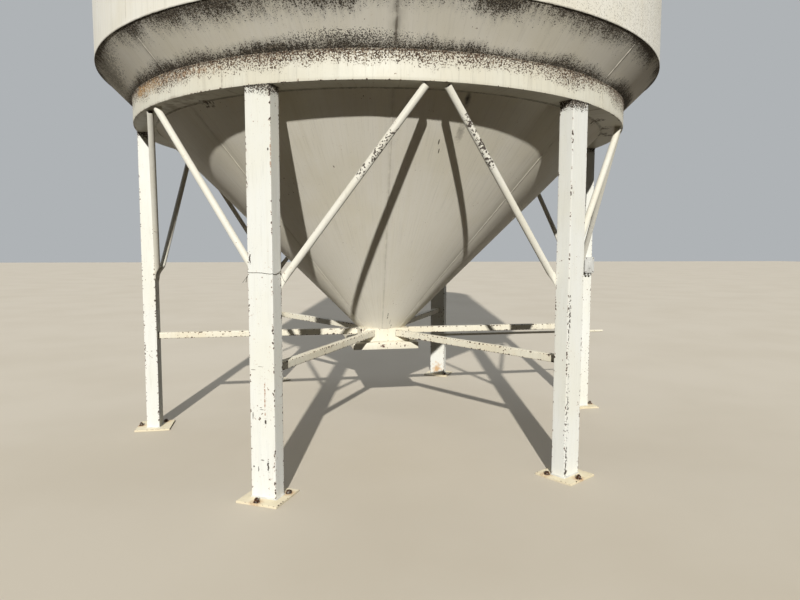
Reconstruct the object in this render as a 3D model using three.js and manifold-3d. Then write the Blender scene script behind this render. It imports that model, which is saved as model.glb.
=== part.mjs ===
// A welded steel grain silo with a hopper bottom, on six legs.
// Millimetres, +Z up. The origin is on the ground, on the silo's centre line.
// An azimuth is measured from -Y towards +X, in degrees.
import * as THREE from "three";
import { mergeVertices } from "three/addons/utils/BufferGeometryUtils.js";
import Module from "manifold-3d";

const wasm = await Module();
wasm.setup();

// Driving dimensions
const GAP = 0.3; // between pieces that touch
const FACET = 5; // degrees of one flat of the round shells

const SILO_RADIUS = 2134; // outside of the wall, a silo 14 ft across
const SHEET = 6; // thickness of wall, hopper and roof
const HOPPER_TOP = 2716; // where the wall meets the hopper, whose slope is 45 degrees
const COURSE_HEIGHT = 1219; // one course of wall sheets
const COURSES = 3;
const WALL_PANELS = 4;
const GORES = 8;
const FIRST_SEAM = -52; // azimuth of the first seam of hopper and wall

const ROOF_SLOPE = 30; // degrees
const EAVE_RADIUS = 2165;
const FILL_HOLE_RADIUS = 215;
const FILL_COLLAR_RADIUS = 250; // outside
const FILL_COLLAR_HEIGHT = 120;
const FILL_COLLAR_WALL = 6;
const LID_RADIUS = 262;
const LID_RISE = 45;
const LID_SKIRT = 30;

const LEGS = 6;
const FIRST_LEG = -30; // azimuth
const LEG_WIDTH = 158; // along the ring
const LEG_DEPTH = 95; // towards the centre
const LEG_WALL = 6;
const RING_RADIUS = 1904; // outside of the ring beam and of the legs
const RING_BOTTOM = 2330;
const RING_THICKNESS = 8;
const RING_SPLICES = [-37, 38, 108, 178, 248]; // azimuths
const PLATE_SIDE = 262;
const PLATE_THICKNESS = 12;

const BRACE_DIAMETER = 42.4;
const BRACE_WALL = 3.6;
const BRACE_SIDES = 16;
const BRACE_FOOT = 1265; // height of a brace's axis at the corner of its leg
const BRACE_HEAD_RADIUS = 1873; // distance of its head from the centre line
const BRACE_HEAD_SPREAD = 51; // from the middle of the bay
const FOOT_WIDTH = 60; // of the brace's foot, pressed flat on the leg's inner face
const FOOT_THICKNESS = 8;
const FOOT_END = 30; // from the leg's middle to the end of the foot,
const FOOT_FLAT = 60; // to where it is flat
const FOOT_ROUND = 110; // and to where the pipe is round

const STRUT_SIDE = 50;
const STRUT_WALL = 4;
const STRUT_HEIGHT = 745; // of its axis

const COLLAR_SIDE = 406; // square box under the hopper
const COLLAR_WALL = 6;
const FRAME_SIDE = 536; // width of the slide gate's frame
const FRAME_BOTTOM = 623;
const FRAME_TOP = 676;
const FRAME_END = 740; // how far the rails run out to the back
const FRAME_STEEL = 6;
const FRAME_LIP = 50; // width of the rail's lower leg
const FRAME_STRIP = 14; // width of the strip behind the opening
const OUTLET_HALF = 195; // half of the opening in the frame

const GATE_HALF_WIDTH = 250;
const GATE_FRONT = -215;
const GATE_BACK = 300;
const GATE_THICKNESS = 6;
const GATE_SEAT = 0.5; // above the rail's lower leg

const SHAFT_DIAMETER = 21.3;
const SHAFT_BACK = 235; // distance behind the centre line
const SHAFT_HEIGHT = 657;
const SHAFT_LEFT = -274;
const SHAFT_RIGHT = 2206;
const SHAFT_HOLE_RADIUS = 11.2;
const PINION_RADIUS = 20.5;
const PINION_WIDTH = 20;
const PINION_OFFSET = 150; // from the centre line, one on each side

const BRACKET_THICKNESS = 6;
const BRACKET_HALF_HEIGHT = 60;
const BRACKET_EDGE = -70; // its near edge
const BRACKET_SHOULDER = 205; // where it starts to narrow
const BRACKET_TIP = 270;

const BOX_DEPTH = 50; // switch box on the right leg
const BOX_LEFT = 1812;
const BOX_RIGHT = 1902;
const BOX_BOTTOM = 1231;
const BOX_TOP = 1373;
const GLAND_RADIUS = 11;
const GLAND_LENGTH = 26;

const HOPPER_BOTTOM = HOPPER_TOP - SILO_RADIUS + COLLAR_SIDE / 2;
const WALL_TOP = HOPPER_TOP + COURSES * COURSE_HEIGHT;
const LEG_CENTRE = RING_RADIUS - LEG_DEPTH / 2;
const LEG_INSIDE = RING_RADIUS - LEG_DEPTH; // distance of its inner face from the centre line
const TURN = 360;
const CUT = 4000; // larger than anything that it cuts
const OVERCUT = 1; // how far a cut runs past the face that it goes through
const MERGE_TOLERANCE = 1e-3; // corners nearer than this are one corner

const cream = { color: 0xe9e4d0, roughness: 0.55, metalness: 0.0 };
const steel = { color: 0x8b8780, roughness: 0.5, metalness: 0.8 };
const greyPaint = { color: 0xb9b8b2, roughness: 0.5, metalness: 0.1 };

const rad = THREE.MathUtils.degToRad;

// Distance of the hopper's outside from the centre line at a height
const hopperRadius = (height) => SILO_RADIUS - (HOPPER_TOP - height);

// Solids

/** A three.js geometry as a solid that can be cut. */
function solid(geometry) {
  const bare = geometry.clone();
  bare.deleteAttribute("normal");
  bare.deleteAttribute("uv");
  const merged = mergeVertices(bare, MERGE_TOLERANCE);
  return new wasm.Manifold(
    new wasm.Mesh({
      numProp: 3,
      vertProperties: new Float32Array(merged.attributes.position.array),
      triVerts: new Uint32Array(merged.index.array),
    }),
  );
}

/** A cut solid as a three.js geometry again. */
function geometryOf(manifold) {
  const mesh = manifold.getMesh();
  const geometry = new THREE.BufferGeometry();
  const places = new THREE.BufferAttribute(new Float32Array(mesh.vertProperties), 3);
  geometry.setAttribute("position", places);
  geometry.setIndex(new THREE.BufferAttribute(new Uint32Array(mesh.triVerts), 1));
  return geometry;
}

/** A block from its lowest to its highest corner. */
function block([x0, y0, z0], [x1, y1, z1]) {
  const geometry = new THREE.BoxGeometry(x1 - x0, y1 - y0, z1 - z0);
  geometry.translate((x0 + x1) / 2, (y0 + y1) / 2, (z0 + z1) / 2);
  return geometry;
}

/** A rod of a round section along X, from x0 to x1. */
function rodAlongX(radius, x0, x1, y, z, sides = 16) {
  const geometry = new THREE.CylinderGeometry(radius, radius, x1 - x0, sides);
  geometry.rotateZ(Math.PI / 2);
  geometry.translate((x0 + x1) / 2, y, z);
  return geometry;
}

/** A rod of a round section that stands on Z. */
function post(radius, z0, z1, x = 0, y = 0, sides = 16) {
  const geometry = new THREE.CylinderGeometry(radius, radius, z1 - z0, sides);
  geometry.rotateX(Math.PI / 2);
  geometry.translate(x, y, (z0 + z1) / 2);
  return geometry;
}

/** The outline of a rectangle about the middle. */
function rectangle(Outline, width, depth) {
  const outline = new Outline();
  outline.moveTo(-width / 2, -depth / 2);
  outline.lineTo(width / 2, -depth / 2);
  outline.lineTo(width / 2, depth / 2);
  outline.lineTo(-width / 2, depth / 2);
  outline.closePath();
  return outline;
}

/** A rectangular tube that stands on Z from z0 to z1. */
function rectangularTube(width, depth, wall, z0, z1) {
  const outline = rectangle(THREE.Shape, width, depth);
  outline.holes.push(rectangle(THREE.Path, width - 2 * wall, depth - 2 * wall));
  const geometry = new THREE.ExtrudeGeometry(outline, { depth: z1 - z0, bevelEnabled: false });
  geometry.translate(0, 0, z0);
  return geometry;
}

const pipeTurn = [...Array(BRACE_SIDES).keys()].map((k) => (k / BRACE_SIDES) * 2 * Math.PI);

/** The outline of a round pipe, as [x, y] points. */
const circle = (radius) => pipeTurn.map((a) => [radius * Math.cos(a), radius * Math.sin(a)]);

/** The outline of a pipe pressed flat, with as many points as the round one. */
const flattened = (halfWidth, halfThickness) =>
  pipeTurn.map((a) => {
    const rise = THREE.MathUtils.clamp(2 * Math.sin(a), -1, 1);
    return [halfWidth * Math.cos(a), halfThickness * rise];
  });

/** An outline put square to a direction, about a place. */
function section(place, direction, outline) {
  const across = new THREE.Vector3(0, 1, 0).cross(direction).normalize();
  const deep = direction.clone().cross(across);
  return outline.map(([x, y]) =>
    place.clone().addScaledVector(across, x).addScaledVector(deep, y),
  );
}

/** A closed form through sections that have as many points as each other. */
function loft(sections) {
  const count = sections[0].length;
  const last = (sections.length - 1) * count;
  const faces = [];
  for (let low = 0; low < last; low += count) {
    for (let i = 0; i < count; i++) {
      const next = (i + 1) % count;
      const high = low + count;
      faces.push(low + i, low + next, high + next, low + i, high + next, high + i);
    }
  }
  for (let i = 1; i < count - 1; i++) faces.push(0, i + 1, i, last, last + i, last + i + 1);
  const geometry = new THREE.BufferGeometry().setFromPoints(sections.flat());
  geometry.setIndex(faces);
  return geometry;
}

/** A level arc about the centre line, from one azimuth to another. */
class LevelArc extends THREE.Curve {
  constructor(radius, height, from, to) {
    super();
    Object.assign(this, { radius, height, from, to });
  }

  getPoint(t) {
    const azimuth = rad(this.from + t * (this.to - this.from));
    const { radius, height } = this;
    return new THREE.Vector3(radius * Math.sin(azimuth), -radius * Math.cos(azimuth), height);
  }
}

/** A profile of [radius, height] points swept about the centre line between two azimuths. */
function sweep(profile, from, to) {
  const [r0, z0] = profile[0];
  const half = THREE.MathUtils.radToDeg(GAP / 2 / SILO_RADIUS);
  const path = new LevelArc(r0, z0, from + half, to - half);
  const section = new THREE.Shape(profile.map(([r, z]) => new THREE.Vector2(z0 - z, r0 - r)));
  const steps = Math.round((to - from) / FACET);
  return new THREE.ExtrudeGeometry(section, { steps, extrudePath: path, bevelEnabled: false });
}

/** A profile of [radius, height] points turned about the centre line. */
function turned(profile, sides) {
  const points = profile.map(([r, z]) => new THREE.Vector2(r, z));
  const onAxis = profile[0][0] === 0;
  if (!onAxis) points.push(points[0].clone());
  const start = rad(FIRST_SEAM + TURN);
  const geometry = new THREE.LatheGeometry(points, sides, start, 2 * Math.PI);
  geometry.rotateX(Math.PI / 2);
  return geometryOf(solid(geometry));
}

const silo = new THREE.Group();

/** Adds a named mesh to the silo, turned to an azimuth. */
function add(name, geometry, finish, azimuth = 0) {
  const mesh = new THREE.Mesh(geometry, new THREE.MeshStandardMaterial(finish));
  mesh.name = name;
  mesh.rotation.z = rad(azimuth);
  silo.add(mesh);
}

// Legs and what joins them. Each is drawn at azimuth 0 and turned to its place.

function addLeg(number, azimuth) {
  const z0 = PLATE_THICKNESS + GAP;
  const tube = rectangularTube(LEG_WIDTH, LEG_DEPTH, LEG_WALL, z0, RING_BOTTOM - GAP);
  tube.translate(0, -LEG_CENTRE, 0);
  add(`leg_${number}`, tube, cream, azimuth);
  const half = PLATE_SIDE / 2;
  const plate = block([-half, -LEG_CENTRE - half, 0], [half, -LEG_CENTRE + half, PLATE_THICKNESS]);
  add(`base_plate_${number}`, plate, cream, azimuth);
}

/**
 * A pipe from the inner face of a leg up to the ring, near the middle of the bay on that side.
 * Its head is cut square, and its foot is pressed flat.
 */
function brace(side) {
  const radius = BRACE_DIAMETER / 2;
  const halfBay = rad(TURN / LEGS / 2);
  const corner = new THREE.Vector3((side * LEG_WIDTH) / 2, radius - LEG_INSIDE, BRACE_FOOT);
  const outwards = new THREE.Vector3(side * Math.sin(halfBay), -Math.cos(halfBay), 0);
  const along = new THREE.Vector3(side * Math.cos(halfBay), Math.sin(halfBay), 0);
  const head = outwards.multiplyScalar(BRACE_HEAD_RADIUS).addScaledVector(along, -BRACE_HEAD_SPREAD);
  head.z = RING_BOTTOM;
  const axis = head.clone().sub(corner).normalize();
  const drop = GAP + radius * Math.hypot(axis.x, axis.y);
  head.addScaledVector(axis, -drop / axis.z);

  const axisAt = (x) => {
    const reach = (x - LEG_WIDTH / 2) / Math.abs(axis.x);
    return corner.clone().addScaledVector(axis, reach);
  };
  const flatAxis = new THREE.Vector3(axis.x, 0, axis.z).normalize();
  const flatAt = (x) => {
    const middle = axisAt(x).setY(GAP + FOOT_THICKNESS / 2 - LEG_INSIDE);
    return section(middle, flatAxis, flattened(FOOT_WIDTH / 2, FOOT_THICKNESS / 2));
  };
  const shoulder = axisAt(FOOT_ROUND);
  const outside = [flatAt(FOOT_END), flatAt(FOOT_FLAT)];
  outside.push(section(shoulder, axis, circle(radius)), section(head, axis, circle(radius)));
  const bore = circle(radius - BRACE_WALL);
  const beyond = head.clone().addScaledVector(axis, OVERCUT);
  const inside = [section(shoulder, axis, bore), section(beyond, axis, bore)];
  return geometryOf(solid(loft(outside)).subtract(solid(loft(inside))));
}

/** A square tube from a leg to the collar under the hopper. */
function strut(azimuth) {
  const innerEnd = COLLAR_SIDE / 3; // inside the collar, which cuts it
  const outerEnd = LEG_INSIDE - GAP;
  const tube = rectangularTube(STRUT_SIDE, STRUT_SIDE, STRUT_WALL, innerEnd, outerEnd);
  tube.rotateX(Math.PI / 2);
  tube.translate(0, 0, STRUT_HEIGHT);
  const half = COLLAR_SIDE / 2 + GAP;
  const collar = block([-half, -half, 0], [half, half, CUT]);
  collar.rotateZ(-rad(azimuth));
  return geometryOf(solid(tube).subtract(solid(collar)));
}

for (let k = 0; k < LEGS; k++) {
  const azimuth = FIRST_LEG + (k * TURN) / LEGS;
  addLeg(k + 1, azimuth);
  add(`brace_${2 * k + 1}`, brace(-1), cream, azimuth);
  add(`brace_${2 * k + 2}`, brace(1), cream, azimuth);
  add(`strut_${k + 1}`, strut(azimuth), cream, azimuth);
}

// Ring beam: an upright band with a flange that runs in to the hopper

const bandInside = RING_RADIUS - RING_THICKNESS;
const flangeTop = RING_BOTTOM + RING_THICKNESS;
const hopperHeight = (radius) => HOPPER_TOP - SILO_RADIUS + radius;
const ringProfile = [
  [RING_RADIUS, RING_BOTTOM],
  [RING_RADIUS, hopperHeight(RING_RADIUS) - 2 * GAP],
  [bandInside, hopperHeight(bandInside) - 2 * GAP],
  [bandInside, flangeTop],
  [hopperRadius(flangeTop) + 2 * GAP, flangeTop],
  [hopperRadius(RING_BOTTOM) + 2 * GAP, RING_BOTTOM],
];
RING_SPLICES.forEach((from, k) => {
  const to = RING_SPLICES[k + 1] ?? RING_SPLICES[0] + TURN;
  add(`ring_segment_${k + 1}`, sweep(ringProfile, from, to), cream);
});

// Hopper, wall and roof

const slantThickness = SHEET * Math.SQRT2;
const hopperFoot = HOPPER_BOTTOM + GAP;
const goreProfile = [
  [hopperRadius(hopperFoot), hopperFoot],
  [SILO_RADIUS, HOPPER_TOP],
  [SILO_RADIUS - slantThickness, HOPPER_TOP],
  [hopperRadius(hopperFoot) - slantThickness, hopperFoot],
];
for (let k = 0; k < GORES; k++) {
  const from = FIRST_SEAM + (k * TURN) / GORES;
  add(`hopper_gore_${k + 1}`, sweep(goreProfile, from, from + TURN / GORES), cream);
}

const wallProfile = [
  [SILO_RADIUS, HOPPER_TOP + GAP],
  [SILO_RADIUS, WALL_TOP],
  [SILO_RADIUS - SHEET, WALL_TOP],
  [SILO_RADIUS - SHEET, HOPPER_TOP + GAP],
];
for (let k = 0; k < WALL_PANELS; k++) {
  const from = FIRST_SEAM + (k * TURN) / WALL_PANELS;
  add(`wall_panel_${k + 1}`, sweep(wallProfile, from, from + TURN / WALL_PANELS), cream);
}

const roofUnderside = (radius) =>
  WALL_TOP + GAP + (SILO_RADIUS - radius) * Math.tan(rad(ROOF_SLOPE));
const roofRise = SHEET / Math.cos(rad(ROOF_SLOPE));
const roofTop = (radius) => roofUnderside(radius) + roofRise;
const roofProfile = [
  [FILL_HOLE_RADIUS, roofUnderside(FILL_HOLE_RADIUS)],
  [EAVE_RADIUS, roofUnderside(EAVE_RADIUS)],
  [EAVE_RADIUS, roofTop(EAVE_RADIUS)],
  [FILL_HOLE_RADIUS, roofTop(FILL_HOLE_RADIUS)],
];
add("roof", turned(roofProfile, TURN / FACET), cream);

const collarInside = FILL_COLLAR_RADIUS - FILL_COLLAR_WALL;
const collarTop = roofTop(collarInside) + FILL_COLLAR_HEIGHT;
const fillCollarProfile = [
  [collarInside, roofTop(collarInside) + GAP],
  [FILL_COLLAR_RADIUS, roofTop(FILL_COLLAR_RADIUS) + GAP],
  [FILL_COLLAR_RADIUS, collarTop],
  [collarInside, collarTop],
];
add("fill_collar", turned(fillCollarProfile, TURN / FACET), cream);

const lidSeat = collarTop + GAP;
const lidSkirtInside = LID_RADIUS - FILL_COLLAR_WALL;
const lidProfile = [
  [0, lidSeat],
  [lidSkirtInside, lidSeat],
  [lidSkirtInside, lidSeat - LID_SKIRT],
  [LID_RADIUS, lidSeat - LID_SKIRT],
  [LID_RADIUS, lidSeat + SHEET],
  [0, lidSeat + LID_RISE],
];
add("fill_lid", turned(lidProfile, TURN / FACET / 2), cream);

// Outlet: a square collar, and under it the frame of a slide gate

function outletCollar() {
  const half = COLLAR_SIDE / 2;
  const inside = half - COLLAR_WALL;
  const foot = FRAME_TOP + GAP;
  const box = solid(block([-half, -half, foot], [half, half, HOPPER_BOTTOM]));
  const hollowTop = HOPPER_BOTTOM - COLLAR_WALL;
  const hollow = block([-inside, -inside, 0], [inside, inside, hollowTop]);
  const mouth = post(OUTLET_HALF, 0, CUT, 0, 0, TURN / FACET);
  return geometryOf(box.subtract(solid(hollow)).subtract(solid(mouth)));
}
add("outlet_collar", outletCollar(), cream);

/** The gate's frame: two rails, a front bar, a strip behind the opening and an end bar. */
function gateFrame() {
  const half = FRAME_SIDE / 2;
  const web = half - FRAME_STEEL;
  const top = FRAME_TOP - FRAME_STEEL;
  const lip = FRAME_BOTTOM + FRAME_STEEL;
  const end = FRAME_END + FRAME_STEEL;
  const stripEnd = OUTLET_HALF + FRAME_STRIP;
  const outside = solid(block([-half, -half, FRAME_BOTTOM], [half, end, FRAME_TOP]));
  const track = block([-web, -web, lip], [web, FRAME_END, top]);
  const below = half - FRAME_LIP;
  const under = block([-below, -web, 0], [below, FRAME_END, lip + OVERCUT]);
  const low = top - OVERCUT;
  const opening = block([-OUTLET_HALF, -OUTLET_HALF, low], [OUTLET_HALF, OUTLET_HALF, CUT]);
  const behind = block([-OUTLET_HALF, stripEnd, low], [OUTLET_HALF, FRAME_END, CUT]);
  const wide = half + OVERCUT;
  const shaftHole = rodAlongX(SHAFT_HOLE_RADIUS, -wide, wide, SHAFT_BACK, SHAFT_HEIGHT);
  const cuts = [track, under, opening, behind, shaftHole];
  return geometryOf(cuts.reduce((left, cut) => left.subtract(solid(cut)), outside));
}
add("gate_frame", gateFrame(), cream);

const gateFoot = FRAME_BOTTOM + FRAME_STEEL + GATE_SEAT;
const gatePlate = block(
  [-GATE_HALF_WIDTH, GATE_FRONT, gateFoot],
  [GATE_HALF_WIDTH, GATE_BACK, gateFoot + GATE_THICKNESS],
);
add("gate_plate", gatePlate, steel);

/** The shaft that a crank turns, with the two pinions that drive the gate. */
function crankShaft() {
  const rod = solid(rodAlongX(SHAFT_DIAMETER / 2, SHAFT_LEFT, SHAFT_RIGHT, SHAFT_BACK, SHAFT_HEIGHT));
  const pinion = (x) => {
    const [x0, x1] = [x - PINION_WIDTH / 2, x + PINION_WIDTH / 2];
    return solid(rodAlongX(PINION_RADIUS, x0, x1, SHAFT_BACK, SHAFT_HEIGHT));
  };
  return geometryOf(rod.add(pinion(-PINION_OFFSET)).add(pinion(PINION_OFFSET)));
}
add("crank_shaft", crankShaft(), cream);

/** The five-sided plate on the right leg that carries the shaft's outer end. */
function crankBracket() {
  const [low, high] = [SHAFT_HEIGHT - BRACKET_HALF_HEIGHT, SHAFT_HEIGHT + BRACKET_HALF_HEIGHT];
  const outline = new THREE.Shape(
    [
      [BRACKET_EDGE, low],
      [BRACKET_SHOULDER, low],
      [BRACKET_TIP, SHAFT_HEIGHT],
      [BRACKET_SHOULDER, high],
      [BRACKET_EDGE, high],
    ].map(([y, z]) => new THREE.Vector2(y, z)),
  );
  const plate = new THREE.ExtrudeGeometry(outline, { depth: BRACKET_THICKNESS, bevelEnabled: false });
  plate.rotateX(Math.PI / 2);
  plate.rotateZ(Math.PI / 2);
  plate.translate(RING_RADIUS + GAP, 0, 0);
  const hole = rodAlongX(SHAFT_HOLE_RADIUS, RING_RADIUS, SHAFT_RIGHT, SHAFT_BACK, SHAFT_HEIGHT);
  return geometryOf(solid(plate).subtract(solid(hole)));
}
add("crank_bracket", crankBracket(), cream);

/** The switch box on the near side of the right leg, with two glands below it. */
function switchBox() {
  const back = -LEG_WIDTH / 2 - GAP;
  const front = back - BOX_DEPTH;
  const box = solid(block([BOX_LEFT, front, BOX_BOTTOM], [BOX_RIGHT, back, BOX_TOP]));
  const third = (BOX_RIGHT - BOX_LEFT) / 3;
  const gland = (x) => {
    const [z0, z1] = [BOX_BOTTOM - GLAND_LENGTH, BOX_BOTTOM + OVERCUT];
    return solid(post(GLAND_RADIUS, z0, z1, x, (front + back) / 2));
  };
  return geometryOf(box.add(gland(BOX_LEFT + third)).add(gland(BOX_RIGHT - third)));
}
add("switch_box", switchBox(), greyPaint);

export default silo;
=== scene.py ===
"""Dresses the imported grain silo: welded sheets, braced legs, a slide gate and weathered cream enamel."""

import logging
import math
from collections.abc import Callable, Sequence
from dataclasses import dataclass
from enum import Enum
from functools import partial

import bmesh
import bpy
from mathutils import Matrix, Vector, noise


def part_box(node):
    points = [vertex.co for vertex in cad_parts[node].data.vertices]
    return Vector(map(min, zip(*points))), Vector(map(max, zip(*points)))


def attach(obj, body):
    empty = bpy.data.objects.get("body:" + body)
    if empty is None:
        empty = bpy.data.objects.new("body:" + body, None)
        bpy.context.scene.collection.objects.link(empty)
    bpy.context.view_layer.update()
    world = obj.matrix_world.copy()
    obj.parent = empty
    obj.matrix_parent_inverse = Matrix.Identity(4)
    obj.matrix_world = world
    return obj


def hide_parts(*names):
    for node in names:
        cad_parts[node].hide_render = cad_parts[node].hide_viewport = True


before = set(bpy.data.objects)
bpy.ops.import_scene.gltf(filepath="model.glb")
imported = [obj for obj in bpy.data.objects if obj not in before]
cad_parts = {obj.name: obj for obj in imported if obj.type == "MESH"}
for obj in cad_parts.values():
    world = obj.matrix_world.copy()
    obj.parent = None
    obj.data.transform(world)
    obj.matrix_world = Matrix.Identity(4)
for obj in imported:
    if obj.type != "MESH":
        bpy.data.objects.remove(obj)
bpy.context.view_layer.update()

log = logging.getLogger("silo")

Colour = tuple[float, float, float, float]
Loop = list[Vector]
Outline = Sequence[tuple[float, float]]
WeldLine = list[tuple[Vector, Vector, Vector]]
Spread = Sequence[float] | float  # a value for each point, or one for all
Material = bpy.types.Material
Socket = bpy.types.NodeSocket
Input = Socket | float | Sequence[float]

UP = Vector((0.0, 0.0, 1.0))
RIGHT = Vector((1.0, 0.0, 0.0))
BACK = Vector((0.0, 1.0, 0.0))
OUTWARDS = -BACK  # at azimuth 0, where each leg is drawn
UPRIGHT = (UP, RIGHT, BACK)  # the axes of a turned part that stands up
# A fillet's section, by its two faces, and a bead's, by the ways across the joint and out of the sheet.
FILLET = ((1.0, 0.0), (0.72, 0.42), (0.55, 0.55), (0.42, 0.72), (0.0, 1.0), (-0.25, -0.25))
BEAD = ((-1.0, -0.3), (-0.62, 0.72), (0.0, 1.0), (0.62, 0.72), (1.0, -0.3), (0.0, -0.8))
ARC_FLATS = 4  # how many flats round a tube's corner
SMOOTH_UNDER = math.radians(35.0)  # sharper edges than this are shaded as corners
FAR = 1.0  # the corner measure of a point that is far from every corner, in metres
CHALKED = 0.3  # how powdery enamel is after some years in the sun
FILM_IOR = 1.5  # of paint and of scale
GAP = 0.0003  # left between welded parts, so that no two faces lie in one plane


class Body(Enum):
    """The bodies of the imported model."""

    SILO = "silo"
    GATE = "gate"
    CRANK = "crank"


class Slot(Enum):
    """Names of material slots."""

    CREAM = "cream_paint"
    STEEL = "gate_steel"
    GREY = "grey_enamel"


class Measure(Enum):
    """What a finish can read at each point of a piece."""

    CORNER = "corner"  # distance from the nearest sharp corner, in metres
    WELD = "weld"  # how dirty the weld is here, from 0 on plain sheet to 1
    STAIN = "stain"  # how much rust has run over this place, from 0 to 1


class Cover(Enum):
    """What the finishes cover."""

    WALL = "wall"
    ROOF = "roof"
    CONE = "cone"
    RING = "ring"
    LEG = "leg"
    PLATE = "plate"
    PIPE = "pipe"
    TUBE = "tube"
    ZINC = "zinc"
    WIRE = "wire"
    STEEL = "steel"
    GREY = "grey"
    BORE = "bore"


# ---- Colours and layers ----


def linear(colour: str) -> Colour:
    """Turns a colour into linear light.

    Args:
        colour: an sRGB colour as six hex digits after a hash.

    Returns:
        Red, green, blue and alpha for a shader.
    """
    parts = [int(colour[k : k + 2], 16) / 255 for k in (1, 3, 5)]
    red, green, blue = (p / 12.92 if p <= 0.04045 else ((p + 0.055) / 1.055) ** 2.4 for p in parts)
    return red, green, blue, 1.0


def add_node(tree: bpy.types.NodeTree, kind: str, inputs: dict[str | int, Input] | None = None,
             **settings: object) -> bpy.types.Node:
    """Adds a node with its settings and links.

    Args:
        tree: the node tree.
        kind: Blender's name of the node type.
        inputs: a value or a socket for each input that isn't left as it is.
        **settings: the node's own settings.

    Returns:
        The new node.
    """
    new = tree.nodes.new(kind)
    for name, value in settings.items():
        setattr(new, name, value)
    for key, value in (inputs or {}).items():
        if isinstance(value, Socket):
            tree.links.new(value, new.inputs[key])
        else:
            new.inputs[key].default_value = value
    return new


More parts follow.
